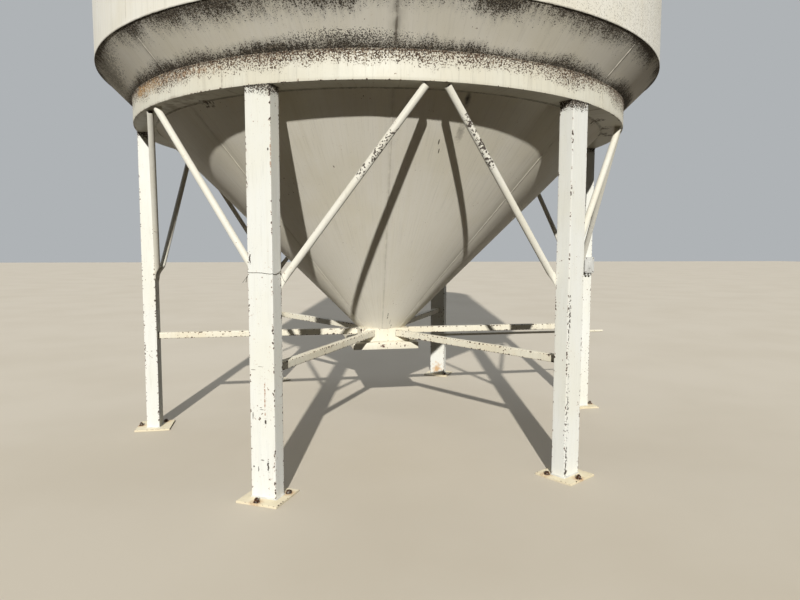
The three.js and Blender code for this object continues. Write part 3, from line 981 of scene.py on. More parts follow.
@dataclass(frozen=True)
class Hopper(Part):
    """The cone: eight rolled gores, butt-welded down their edges."""

    gores: int = 8  # how many there are
    first_seam: float = -52.0  # the azimuth of the first seam
    thickness: float = 0.006  # of the sheet, as the CAD has it
    bead: float = 0.006  # half of a weld's width
    crown: float = 0.0025  # how far a weld stands out
    grimy_seam: int = 1  # the number of the dirtiest seam
    peak: float = 0.004  # how far the sheets' flat edges pull the cone in at a seam
    peak_width: float = 2.2  # how far from a seam they do so, in degrees
    wave: tuple[float, float] = (0.55, 0.005)  # the length and depth of the sheet's waves
    true_within: float = 0.25  # how far from its ends the cone is held nearly true

    def build(self) -> None:
        """Builds the gores, each with the weld on its first edge."""
        for k in range(self.gores):
            steel = Plating()
            self.draw_gore(steel, k)
            azimuth = self.azimuth(k)
            across, out = facing(azimuth)
            heights = steps(self.plan.hopper_foot + 0.004, self.plan.hopper_top - 0.004, 210)
            line = [(self.surface(azimuth, z), across, (out - UP).normalized()) for z in heights]
            steel.weld(line, self.bead, self.crown, dirt=[self.dirt(k, z) for z in heights])
            steel.piece(f"gore_sheet_{k + 1}", [self.coat[Cover.CONE]], [f"hopper_gore_{k + 1}"])

    def azimuth(self, seam: int) -> float:
        """Where a seam runs."""
        return self.first_seam + 360 / self.gores * seam

    def dirt(self, seam: int, height: float) -> float:
        """How dirty a seam is at a height: rain leaves its dirt above the ring.

        Args:
            seam: the seam's number.
            height: the height.

        Returns:
            The dirt, from 0 to 1.
        """
        seam %= self.gores
        above = min(1.0, max(0.0, (height - self.plan.ring_top + 0.02) / 0.04))
        worst = 1.0 if seam == self.grimy_seam else 0.45 + 0.15 * math.sin(seam * 2.4)
        return 0.25 + (worst - 0.25) * above

    def surface(self, azimuth: float, height: float) -> Vector:
        """A point of the cone's outside, which is rolled by eye and peaks at the seams.

        Args:
            azimuth: its azimuth, in degrees.
            height: its height.

        Returns:
            The point.
        """
        plan = self.plan
        radius = plan.cone_radius(height)
        span = 360 / self.gores
        from_seam = abs((azimuth - self.first_seam + span / 2) % span - span / 2)
        flat = -self.peak * math.exp(-((from_seam / self.peak_width) ** 2))
        ends = min(plan.hopper_top - height, height - plan.hopper_foot)
        out = waves(polar(radius, azimuth, height), *self.wave) + flat
        return polar(radius + out * min(1.0, ends / self.true_within), azimuth, height)

    def draw_gore(self, steel: Plating, gore: int) -> None:
        """Draws one gore, with more points near its seams.

        Args:
            steel: the piece.
            gore: the gore's number.
        """
        plan, start, span = self.plan, self.azimuth(gore), 360 / self.gores
        edge, grime = (0.0, 0.25, 0.7, 1.6), (0.8, 0.6, 0.2, 0.0)
        inner = steps(edge[-1], span - edge[-1], 32)[1:-1]
        columns = [start + a for a in (*edge, *inner, *(span - e for e in reversed(edge)))]
        inset = self.thickness * math.sqrt(2)
        front, back, welds = [], [], []
        for z in steps(plan.hopper_foot, plan.hopper_top, 44):
            front.append([self.surface(a, z) for a in columns])
            back.append([polar(plan.cone_radius(z) - inset, a, z) for a in columns])
            here, there = self.dirt(gore, z), self.dirt(gore + 1, z)
            clean = [0.0] * len(inner)
            welds.append([g * here for g in grime] + clean + [g * there for g in reversed(grime)])
        steel.slab(front, back, welds=welds)


@dataclass(frozen=True)
class Roof(Part):
    """The cone roof: lapped and welded sheets with a folded eave, a fill collar and its lid."""

    sheets: int = 16  # how many there are
    thickness: float = 0.006  # of the sheet, as the CAD has it
    lap_rise: float = 0.0035  # how far the upper sheet stands up at a lap
    eave_lip: float = 0.012  # how far the eave is folded down

    def build(self) -> None:
        """Builds the sheets, the collar and the lid."""
        roof, distances = Block.of("roof"), radii("roof")
        eave, hole = max(distances), min(distances)
        slope = (roof.size.z - self.thickness) / (eave - hole)

        def top(radius: float) -> float:
            """The roof's upper face at a radius."""
            return roof.high.z - (radius - hole) * slope

        steel = Plating()
        span, count = 360 / self.sheets, self.sheets * 12
        fold = roof.low.z - self.eave_lip * 0.5
        loops = []
        for azimuth in around(count):
            lift = self.lap_rise if azimuth % span < 360 / count * 0.5 else 0.0
            section = [(r, top(r) + lift) for r in steps(hole, eave, 24)]
            section += [(eave, fold), (eave - self.thickness, fold)]
            inner = (eave - 0.02, self.plan.shell_radius * 0.6, hole)
            section += [(r, top(r) - self.thickness * 1.15) for r in inner]
            loops.append([polar(r, azimuth, z) for r, z in section])
        steel.loft(loops, along=True)
        tilt = math.atan(slope)
        for k in range(self.sheets):
            across, out = facing(k * span)
            off = UP * math.cos(tilt) + out * math.sin(tilt)
            line = [(polar(r, k * span, top(r)), across, off) for r in steps(hole + 0.045, eave - 0.01, 130)]
            steel.weld(line, 0.007, self.lap_rise, dirt=0.3)
        steel.piece("roof_sheets", [self.coat[Cover.ROOF]], ["roof"])
        self.build_neck(top)
        self.build_lid()

    def build_neck(self, top: Callable[[float], float]) -> None:
        """Builds the short round collar that the lid closes.

        Args:
            top: gives the roof's height at a radius.
        """
        collar = Block.of("fill_collar")
        outside, rim = collar.size.x / 2, collar.high.z
        middle, inside, foot = outside - self.thickness / 2, outside - self.thickness, top(outside)
        steel = Plating()
        steel.spun(((outside, foot), (outside, foot + 0.03), (outside, rim - 0.003),
                    (outside - 0.001, rim - 0.0008), (middle, rim), (inside, rim - 0.002),
                    (inside, top(inside))), 96)
        downhill = UP * -0.57  # for each metre outwards
        line = [(polar(outside, a, foot), (facing(a)[1] + downhill).normalized(), UP) for a in around(160)]
        steel.weld(line, 0.008, closed=True)
        steel.piece("fill_neck", [self.coat[Cover.ROOF]], ["fill_collar"])

    def build_lid(self) -> None:
        """Builds the pressed lid with its rim and its knob."""
        lid = Block.of("fill_lid")
        radius, rim, crest = lid.size.x / 2, lid.low.z, lid.high.z
        seat = rim + 0.03
        steel = Plating()
        side = ((-0.005, rim + 0.001), (-0.0025, rim), (0.0, rim + 0.002), (0.0, seat - 0.001),
                (-0.0015, seat + 0.0035), (-0.005, seat + 0.0062))
        crown = ((0.86, seat + 0.0085), (0.82, seat + 0.014), (0.4, crest - 0.014), (0.1, crest - 0.0015))
        within = ((0.012, crest), (0.012, crest - 0.006), (radius * 0.4, crest - 0.02),
                  (radius - 0.006, seat + 0.001), (radius - 0.006, rim + 0.002))
        steel.spun([(radius + r, z) for r, z in side] + [(radius * r, z) for r, z in crown] + [*within], 96)
        knob = ((-0.008, 0.010), (-0.004, 0.016), (0.001, 0.016), (0.004, 0.011))
        steel.turned(UP * crest, (UP, OUTWARDS, RIGHT), knob, 24)
        steel.piece("fill_cover", [self.coat[Cover.ROOF]], ["fill_lid"])


# ---- Ring beam and legs ----


@dataclass(frozen=True)
class RingBeam(Part):
    """The ring beam: an upright band rolled from plate, with a level flange that runs in to the cone."""

    splices: tuple[float, ...] = (-37.0, 38.0, 108.0, 178.0, 248.0)  # where its five lengths are butt-welded
    thickness: float = 0.008  # of the plate
    edge: float = 0.003  # the rounding of its lower corner
    bead: float = 0.006  # half of a splice weld's width
    crown: float = 0.0022  # how far a splice weld stands out
    wave: tuple[float, float] = (0.5, 0.004)  # the length and depth of the band's waves
    clear: float = 0.0006  # between the flange and the cone

    def build(self) -> None:
        """Builds the lengths, each with the welds that hold it."""
        ends = [*self.splices, self.splices[0] + 360]
        for k, (start, end) in enumerate(zip(ends, ends[1:])):
            steel = Plating()
            self.draw_length(steel, start, end)
            self.draw_welds(steel, start, end)
            steel.piece(f"ring_length_{k + 1}", [self.coat[Cover.RING]], [f"ring_segment_{k + 1}"])

    def surface(self, azimuth: float, height: float) -> Vector:
        """A point of the band's outside, which waves a little between the legs.

        Args:
            azimuth: its azimuth, in degrees.
            height: its height.

        Returns:
            The point.
        """
        plan = self.plan
        lower = (plan.ring_top - height) / (plan.ring_top - plan.ring_bottom)
        swell = waves(polar(plan.ring_radius, azimuth, 0.0), *self.wave)
        return polar(plan.ring_radius + swell * lower, azimuth, height)

    def draw_length(self, steel: Plating, start: float, end: float) -> None:
        """Draws the band and flange of one length as one closed section.

        Args:
            steel: the piece.
            start: the azimuth of its first end.
            end: the azimuth of its other end.
        """
        plan, edge = self.plan, self.edge
        low, top = plan.ring_bottom, plan.ring_top
        floor = low + self.thickness
        band = plan.ring_radius - self.thickness
        foot, heel = (plan.cone_radius(z) + self.clear for z in (low, floor))
        loops = []
        for azimuth in steps(start, end, round((end - start) / 1.25)):
            outer = [self.surface(azimuth, z) for z in (top - 0.001, top - 0.02, (top + low) / 2, low + 0.02)]
            swell, out = self.surface(azimuth, low), polar(1.0, azimuth, 0.0)
            outer += [swell + UP * edge, swell + UP * edge * 0.3 - out * edge * 0.3, swell - out * edge]
            rest = ((band - 0.02, low), ((band + foot) / 2, low), (foot + 0.01, low), (foot, low),
                    (heel, floor), (band, floor), (band, top - self.thickness - 0.001))
            loops.append(outer + [polar(r, azimuth, z) for r, z in rest])
        corners = [FAR, 0.05, 0.06, 0.02, 0.0, 0.0, 0.0, 0.02, 0.06, 0.01, 0.0, FAR, FAR, FAR]
        steel.loft(loops, corners)

    def draw_welds(self, steel: Plating, start: float, end: float) -> None:
        """Draws the splice, and the fillets that hold the length to the cone.

        Args:
            steel: the piece.
            start: the azimuth of its first end, where the splice is.
            end: the azimuth of its other end.
        """
        plan, (across, out) = self.plan, facing(start)
        low, top, foot = plan.ring_bottom, plan.ring_top, plan.cone_radius(plan.ring_bottom)
        upright = [(self.surface(start, z), across, out) for z in steps(low + 0.002, top - 0.006, 24)]
        steel.weld(upright, self.bead, self.crown)
        across_flange = steps(foot + 0.004, plan.ring_radius - 0.004, 24)
        under = [(polar(r, start, low), across, -UP) for r in across_flange]
        steel.weld(under, self.bead, self.crown, dirt=0.4)
        upper, lower = [], []
        for azimuth in steps(start, end, round((end - start) * 3)):
            out = polar(1.0, azimuth, 0.0)
            upper.append((polar(plan.ring_radius, azimuth, top), -UP, (out + UP).normalized()))
            lower.append((polar(foot, azimuth, low), out, (-out - UP).normalized()))
        steel.weld(upper, 0.007, dirt=0.9)
        steel.weld(lower, 0.008, dirt=0.6)


@dataclass(frozen=True)
class Anchor:
    """An anchor bolt cast into the slab, with its washer and nut."""

    across: float  # its place along the ring from the leg's middle
    outwards: float  # its place away from the centre line
    diameter: float = 0.016  # of the bolt
    flats: float = 0.026  # the nut's width across flats
    nut_height: float = 0.014
    washer: float = 0.003  # its thickness
    pitch: float = 0.002  # of the thread
    tail: float = 0.008  # how far the bolt stands out of the nut
    tilt: float = 10.0  # how far the nut is turned, in degrees

    def draw(self, steel: Plating, centre: Vector) -> None:
        """Draws the washer, the nut and the bolt's threaded end.

        Args:
            steel: the piece.
            centre: the middle of the plate's upper face.
        """
        high, half = self.nut_height, self.diameter / 2
        rim, corner = self.flats * 0.72, self.flats / 2 / math.cos(math.radians(30))
        disc = ((0.0, rim), (self.washer * 0.6, rim), (self.washer, rim * 0.95))
        nut = ((0.0, corner * 0.9), (0.0015, corner), (high - 0.0015, corner), (high, corner * 0.9))
        thread, rise = [(0.0, half)], high
        while rise < high + self.tail:
            thread += [(rise, half * 0.9), (rise + self.pitch / 2, half)]
            rise += self.pitch
        thread.append((rise, half * 0.8))
        foot = centre + RIGHT * self.across + OUTWARDS * self.outwards
        for lift, profile, sides in ((0.0, disc, 32), (self.washer, nut, 6), (self.washer, thread, 16)):
            steel.turned(foot + UP * lift, UPRIGHT, profile, sides, self.tilt)


@dataclass(frozen=True)
class Leg(Part):
    """One leg: a rectangular tube between the ring and a base plate with its anchors."""

    number: int
    azimuth: float  # where it stands
    anchors: tuple[Anchor, ...]  # the anchor bolts of its plate
    wall: float = 0.006  # of the tube
    corner: float = 0.0025  # the rounding of the tube's corners
    weld: float = 0.007  # the size of its welds
    fan: tuple[float, float] = (0.066, 0.035)  # half of the rectangle that the welds fan out from

    def build(self) -> None:
        """Builds the tube, the base plate and the anchors."""
        self.build_tube()
        self.build_plate()
        steel = Plating(self.azimuth)
        for anchor in self.anchors:
            anchor.draw(steel, OUTWARDS * self.plan.leg_radius + UP * self.plan.plate_top)
        steel.piece(f"anchors_{self.number}", [self.coat[Cover.ZINC]])

    def build_tube(self) -> None:
        """Builds the tube with the welds at its head and foot."""
        plan, rows = self.plan, 58
        low, high = plan.plate_top + GAP, plan.ring_bottom - GAP
        outline, corners = rounded_rectangle(plan.leg_width, plan.leg_depth, self.corner, (7, 3))
        hollow = plan.leg_width - 2 * self.wall, plan.leg_depth - 2 * self.wall
        inner, _ = rounded_rectangle(*hollow, 0.002, (7, 3))
        steel = Plating(self.azimuth)
        loops = [level(outline, z, plan.leg_radius) for z in steps(low, high, rows)]
        loops += [level(inner, z, plan.leg_radius) for z in (high, low)]
        steel.loft(loops, corners, along=True, skins=[0] * (rows + 1) + [1, 0])
        for height, along, dirt in ((low, UP, 0.35), (high, -UP, 0.8)):
            line = []
            for (x, y), point in zip(outline, level(outline, height, plan.leg_radius)):
                out = Vector((x - clamp(x, self.fan[0]), y - clamp(y, self.fan[1]), 0.0)).normalized()
                line.append((point, out, along))
            steel.weld(line, self.weld, closed=True, dirt=dirt)
        steel.piece(f"leg_tube_{self.number}", self.tube(Cover.LEG), [f"leg_{self.number}"])

    def build_plate(self) -> None:
        """Builds the base plate, whose upper edge the shear has rounded a little."""
        plan, edge = self.plan, 0.0015
        half, top = plan.plate_side / 2, plan.plate_top
        places = [-half, -half + edge, *steps(-half + 0.012, half - 0.012, 22), half - edge, half]
        front, back, corners = [], [], []
        for y in places:
            drop = [edge if max(abs(x), abs(y)) > half - edge / 2 else 0.0 for x in places]
            front.append([Vector((x, y - plan.leg_radius, top - d)) for x, d in zip(places, drop)])
            back.append(level([(x, y) for x in places], 0.0, plan.leg_radius))
            corners.append([min(half - abs(x), half - abs(y)) for x in places])
        steel = Plating(self.azimuth)
        steel.slab(front, back, corners)
        for anchor in self.anchors:
            steel.stained(Vector((anchor.across, -anchor.outwards - plan.leg_radius, top)), 0.05)
        steel.piece(f"foot_plate_{self.number}", [self.coat[Cover.PLATE]], [f"base_plate_{self.number}"])


@dataclass(frozen=True)
class Brace(Part):
    """A brace: a pipe from the inner face of a leg up to the ring beam, near the middle of the bay."""

    number: int
    azimuth: float  # of its leg
    side: int  # 1 if it leaves the leg towards higher azimuths, or -1
    diameter: float = 0.0424  # of the pipe
    wall: float = 0.0036  # of the pipe
    foot: float = 1.265  # the height of its axis at the leg's corner
    spread: float = 0.060  # the width of its foot, which is pressed flat
    flat: float = 0.008  # the thickness of the foot
    # From the leg's middle, where the foot ends, where it is flat and where the pipe is round.
    pressed: tuple[float, float, float] = (0.030, 0.060, 0.110)
    head_radius: float = 1.873  # its head's distance from the centre line
    head_spread: float = 0.051  # its head's distance from the middle of the bay
    half_bay: float = 30.0  # half of the angle between two legs
    sides: int = 28  # how many flats round the pipe
    weld: float = 0.006  # the size of its welds

    def build(self) -> None:
        """Builds the pipe, with its foot pressed flat, and its welds."""
        plan, radius = self.plan, self.diameter / 2
        inside = plan.leg_radius - plan.leg_depth / 2
        corner = Vector((self.side * plan.leg_width / 2, radius - inside, self.foot))
        along, out = facing(self.side * self.half_bay)
        head = out * self.head_radius - along * (self.side * self.head_spread) + UP * plan.ring_bottom
        axis = (head - corner).normalized()
        head -= axis * ((GAP + radius * math.hypot(axis.x, axis.y)) / axis.z)
        flat_axis = Vector((axis.x, 0.0, axis.z)).normalized()

        def on_axis(distance: float) -> Vector:
            """A place on the pipe's axis at a distance from the leg's middle."""
            return corner + axis * ((distance - plan.leg_width / 2) / abs(axis.x))

        def section(distance: float, width: float, thickness: float, share: float = 0.0) -> Loop:
            """The pipe's section at a distance from the leg's middle.

            Args:
                distance: the distance.
                width: the section's width.
                thickness: its thickness.
                share: 0 where it is round, up to 1 where it is pressed flat.

            Returns:
                The loop of its points.
            """
            middle = on_axis(distance)
            middle.y += share * (self.flat / 2 + GAP - inside - middle.y)
            aim = axis.lerp(flat_axis, share).normalized()
            across = BACK.cross(aim).normalized()
            deep = aim.cross(across)
            loop = []
            for angle in map(math.radians, around(self.sides)):
                rise = math.sin(angle)
                rise += share * (clamp(2 * rise, 1.0) - rise)
                loop.append(middle + across * (width / 2 * math.cos(angle)) + deep * (thickness / 2 * rise))
            return loop

        end, full, round_at = self.pressed
        top = abs(head.x)
        foot = ((end + 0.004, 0.008, 0.0012), (end, 0.006, 0.0016), (end, 0.001, self.flat - 0.001),
                (end + 0.001, 0.0, self.flat))
        loops = [section(far, self.spread - narrower, thick, 1.0) for far, narrower, thick in foot]
        for distance in (*steps(full, round_at, 9), *steps(round_at, top, 24)[1:]):
            opened = min(1.0, (distance - full) / (round_at - full))
            share = 1 - opened * opened * (3 - 2 * opened)
            width = self.diameter + (self.spread - self.diameter) * share
            loops.append(section(distance, width, self.diameter + (self.flat - self.diameter) * share, share))
        rim = loops[-1]
        hollow = self.diameter - 2 * self.wall
        loops += [section(d, hollow, hollow) for d in (top, round_at)]
        steel = Plating(self.azimuth)
        steel.loft(loops, skins=[1, *[0] * (len(loops) - 3), 1])
        steel.skin = 0
        steel.weld(self.foot_weld(on_axis, flat_axis, inside), self.weld, dirt=0.25)
        highest = max(range(self.sides), key=lambda k: rim[k].z)
        line = []
        for k in range(highest - 4, highest + 5):
            point = rim[k % self.sides]
            away = Vector((point.x - head.x, point.y - head.y, 0.0)).normalized()
            line.append((Vector((point.x, point.y, plan.ring_bottom)), away, -axis))
        steel.weld(line, self.weld * 1.7, dirt=0.6)
        steel.piece(f"brace_pipe_{self.number}", self.tube(Cover.PIPE), [f"brace_{self.number}"])

    def foot_weld(self, on_axis: Callable[[float], Vector], flat_axis: Vector, inside: float) -> WeldLine:
        """The line round the flat foot on the leg's face.

        Args:
            on_axis: gives a place on the pipe's axis at a distance from the leg's middle.
            flat_axis: the way that the foot points.
            inside: the distance of the leg's inner face from the centre line.

        Returns:
            The line's points, each with the directions out on the face and away from it.
        """
        across = BACK.cross(flat_axis).normalized()
        end, half = self.pressed[0], self.spread / 2
        near = steps(end, 0.09, 14)
        spots = [(d, half, across) for d in reversed(near)]
        spots += [(end, half * share, -flat_axis) for share in (0.8, 0.4, 0.0, -0.4, -0.8)]
        spots += [(d, -half, -across) for d in near]
        line = []
        for distance, shift, out in spots:
            point = on_axis(distance) + across * shift
            point.y = -inside
            if abs(point.x) < self.plan.leg_width / 2 - 0.003:
                line.append((point, out, BACK))
        return line


@dataclass(frozen=True)
class Strut(Part):
    """A strut: a small square tube, level, from a leg in to the outlet's collar."""

    number: int
    azimuth: float  # where it runs
    height: float = 0.745  # of its axis
    side: float = 0.050  # of the tube
    wall: float = 0.004  # of the tube
    corner: float = 0.005  # the rounding of its corners

    def build(self) -> None:
        """Builds the tube with the welds at its ends."""
        rows, half = 24, self.plan.collar_half + GAP
        outline, corners = rounded_rectangle(self.side, self.side, self.corner)
        inner, _ = rounded_rectangle(self.side - 2 * self.wall, self.side - 2 * self.wall, 0.002)
        outer_end = self.plan.leg_depth / 2 + GAP - self.plan.leg_radius
        turn = Matrix.Rotation(math.radians(self.azimuth), 2)

        def end_at(across: float) -> float:
            """Where a line along the tube meets the collar.

            Args:
                across: the line's distance from the tube's middle.

            Returns:
                The place along the tube.
            """
            line, aim = turn @ Vector((across, 0.0)), turn @ Vector((0.0, -1.0))
            meets = [(math.copysign(half, aim[k]) - line[k]) / aim[k] for k in (0, 1) if abs(aim[k]) > 1e-6]
            return -max(m for m in meets if m > 0 and max(abs(c) for c in line + aim * m) < half * 1.0001)

        def row(points: Outline, share: float) -> Loop:
            """A loop of the tube, from its outer end at 0 to the collar at 1."""
            ends = [(x, end_at(x) - outer_end, self.height + z) for x, z in points]
            return [Vector((x, outer_end + length * share, z)) for x, length, z in ends]

        steel = Plating(self.azimuth)
        loops = [row(outline, share) for share in steps(0.0, 1.0, rows)]
        skins = [0] * (rows + 1) + [1, 0]
        steel.loft([*loops, row(inner, 1.0), row(inner, 0.0)], corners, along=True, skins=skins)
        for loop, along, dirt in ((loops[0], BACK, 0.8), (loops[-1], OUTWARDS, 0.6)):
            off = [Vector((point.x, 0.0, point.z - self.height)).normalized() for point in loop]
            line = [(point, away, along) for point, away in zip(loop, off)]
            steel.weld(line, 0.005, closed=True, dirt=dirt)
        steel.piece(f"strut_tube_{self.number}", self.tube(Cover.TUBE), [f"strut_{self.number}"])


@dataclass(frozen=True)
class WireTie(Part):
    """A soft wire, tied round one leg and twisted shut, with two loose ends."""

    azimuth: float = -30.0  # of its leg
    height: float = 1.306  # above the ground
    gauge: float = 0.003  # the wire's diameter
    tail: float = 0.062  # how long its twisted end is

    def build(self) -> None:
        """Builds the loop, the two ends twisted round each other and a loose one."""
        plan, gap = self.plan, self.gauge / 2 + 0.0008
        outline, _ = rounded_rectangle(plan.leg_width + 2 * gap, plan.leg_depth + 2 * gap, 0.009, (4, 2))
        loop = level(outline, self.height, plan.leg_radius)
        for k, (x, y) in enumerate(outline):
            sag = 0.008 * x / plan.leg_width - 0.002 * math.sin(k * 0.9)
            loop[k].z += 0.014 * max(0.0, y / plan.leg_depth * 2) - sag
        steel = Plating(self.azimuth)
        self.draw_wire(steel, loop, closed=True)
        start = Vector((-plan.leg_width / 2 - gap, -plan.leg_radius - 0.02, self.height + 0.006))
        aim = Vector((-0.57, -0.1, -0.82)).normalized()
        side = aim.cross(UP).normalized()
        lift = side.cross(aim)
        for phase in (0.0, math.pi):
            path = []
            for t in steps(0.0, 1.0, 40):
                turn = phase + 5 * math.pi * min(t, 0.6)
                apart = self.gauge * 0.6 + max(0.0, t - 0.55) * 0.05
                curl = side * math.cos(turn) * apart + lift * math.sin(turn) * apart
                path.append(start + aim * (self.tail * t) + curl - UP * 0.012 * t * t)
            self.draw_wire(steel, path)
        # One end hangs down over the foot of the brace on the right.
        hang = ((0.083, 0.044, 1.300), (0.086, 0.044, 1.282), (0.094, 0.045, 1.266), (0.103, 0.048, 1.254))
        self.draw_wire(steel, [Vector((x, y - plan.leg_radius, z)) for x, y, z in hang])
        steel.piece("wire_tie", [self.coat[Cover.WIRE]])

    def draw_wire(self, steel: Plating, path: Loop, closed: bool = False) -> None:
        """Draws a round wire along a path.

        Args:
            steel: the piece.
            path: the wire's middle line.
            closed: whether it runs round to its start.
        """
        last = len(path) - 1
        loops = []
        for k, point in enumerate(path):
            before = path[k - 1] if closed or k else point
            after = path[(k + 1) % len(path)] if closed or k < last else point
            aim = (after - before).normalized()
            one = aim.cross(UP if abs(aim.z) < 0.9 else OUTWARDS).normalized()
            loops.append(circle(point, one, aim.cross(one), self.gauge / 2, 8))
        steel.loft(loops, along=closed)


# ---- Outlet, gate and crank ----


@dataclass(frozen=True)
class Outlet(Part):
    """The square collar welded under the cone, with its round mouth."""

    wall: float = 0.006  # of the folded plate
    corner: float = 0.006  # the rounding of its upright corners
    mouth: float = 0.195  # the radius of the hole in its top

    def build(self) -> None:
        """Builds the collar."""
        box = Block.of("outlet_collar")
        side, low, high = box.size.x, box.low.z, box.high.z
        stops = (5, 5)
        outline, corners = rounded_rectangle(side, side, self.corner, stops)
        shrunk, _ = rounded_rectangle(side - 0.003, side - 0.003, self.corner, stops)
        inside, _ = rounded_rectangle(side - 2 * self.wall, side - 2 * self.wall, 0.002, stops)

        def round_mouth(z: float) -> Loop:
            """The round hole, with one point for each of the outline's."""
            return [point.normalized() * self.mouth + UP * z for point in level(outline, 0.0)]

        under = high - self.wall
        loops = [level(outline, z) for z in steps(low, high - 0.0015, 8)]
        loops += [level(shrunk, high), round_mouth(high), round_mouth(under)]
        loops += [level(inside, z) for z in (under, low)]
        steel = Plating()
        steel.loft(loops, corners, along=True)
        line = []
        for azimuth in around(120):
            out = polar(1.0, azimuth, 0.0)
            point = polar(self.plan.cone_radius(high) - 0.002, azimuth, high)
            line.append((point, out, (out + UP).normalized()))
        steel.weld(line, 0.007, closed=True)
        foot = [(Vector((x, y, low)), Vector((x, y, 0.0)).normalized(), UP) for x, y in outline]
        steel.weld(foot, 0.006, closed=True)
        steel.piece("outlet_box", [self.coat[Cover.TUBE]], ["outlet_collar"])


def eased_copy(node: str, name: str, finish: Material, edge: float = 0.0012) -> None:
    """Copies a CAD node with eased edges, and lets the copy stand for it.

    Args:
        node: the CAD node.
        name: the new piece's name.
        finish: its material.
        edge: the width of the eased edges, in metres.
    """
    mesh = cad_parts[node].data.copy()
    mesh.materials.clear()
    mesh.materials.append(finish)
    work = bmesh.new()
    work.from_mesh(mesh)
    bmesh.ops.remove_doubles(work, verts=work.verts, dist=1e-5)
    bmesh.ops.dissolve_limit(work, angle_limit=math.radians(1), verts=work.verts, edges=work.edges)
    sharp = [e for e in work.edges if len(e.link_faces) == 2 and e.calc_face_angle() > math.radians(40)]
    bmesh.ops.bevel(work, geom=sharp, offset=edge, segments=2, profile=0.5, affect="EDGES",
                    clamp_overlap=True)
    work.to_mesh(mesh)
    work.free()
    corner = mesh.attributes.new(Measure.CORNER.value, "FLOAT", "POINT")
    corner.data.foreach_set("value", [FAR] * len(mesh.vertices))
    place(name, mesh, [node], Body.SILO, Slot.CREAM)


@dataclass(frozen=True)
class SlideGate(Part):
    """The gate's plate, with two rows of slots for the pinions' teeth."""

    teeth: int = 8  # how many a pinion has
    rate: float = 0.021  # how far the plate moves for each radian of the crank
    row: float = 0.150  # each row's distance from the middle
    slot_width: float = 0.026  # along the shaft
    slot_length: float = 0.0095  # along the travel
    rim: float = 0.02  # how far the slots stay from the plate's ends

    def build(self) -> None:
        """Builds the slotted plate."""
        box, shaft_back = Block.of("gate_plate"), Block.of("crank_shaft").middle.y
        pitch, half = 2 * math.pi * self.rate / self.teeth, self.slot_length / 2
        first = math.ceil((box.low.y + self.rim - shaft_back) / pitch)
        last = math.floor((box.high.y - self.rim - shaft_back) / pitch)
        middles = [shaft_back + n * pitch for n in range(first, last + 1)]
        ys = [box.low.y, *(y for m in middles for y in (m - half, m + half)), box.high.y]
        outer, inner = self.row + self.slot_width / 2, self.row - self.slot_width / 2
        xs = [box.low.x, -outer, -inner, inner, outer, box.high.x]
        steel = Plating()
        for z in (box.low.z, box.high.z):
            steel.keep([Vector((x, y, z)) for x in xs for y in ys])

        def solid(i: int, j: int) -> bool:
            """Whether there is steel in a cell of the plate's grid."""
            return 0 <= i < len(xs) - 1 and 0 <= j < len(ys) - 1 and not (i in (1, 3) and j % 2)

        def corner(i: int, j: int, top: int) -> int:
            """The number of a grid point on the lower or upper face."""
            return (top * len(xs) + i) * len(ys) + j

        for i, j in ((i, j) for i in range(len(xs) - 1) for j in range(len(ys) - 1) if solid(i, j)):
            for top in (0, 1):
                steel.face(*(corner(i + a, j + b, top) for a, b in ((0, 0), (1, 0), (1, 1), (0, 1))))
            # Each side runs from the cell's corner (ai, aj) to (bi, bj) and faces the cell at (di, dj).
            for di, dj, ai, aj, bi, bj in ((-1, 0, 0, 0, 0, 1), (1, 0, 1, 0, 1, 1),
                                           (0, -1, 0, 0, 1, 0), (0, 1, 0, 1, 1, 1)):
                if not solid(i + di, j + dj):
                    steel.face(corner(i + ai, j + aj, 0), corner(i + bi, j + bj, 0),
                               corner(i + bi, j + bj, 1), corner(i + ai, j + aj, 1))
        steel.piece("slotted_gate", [self.coat[Cover.STEEL]], ["gate_plate"], Body.GATE, Slot.STEEL)


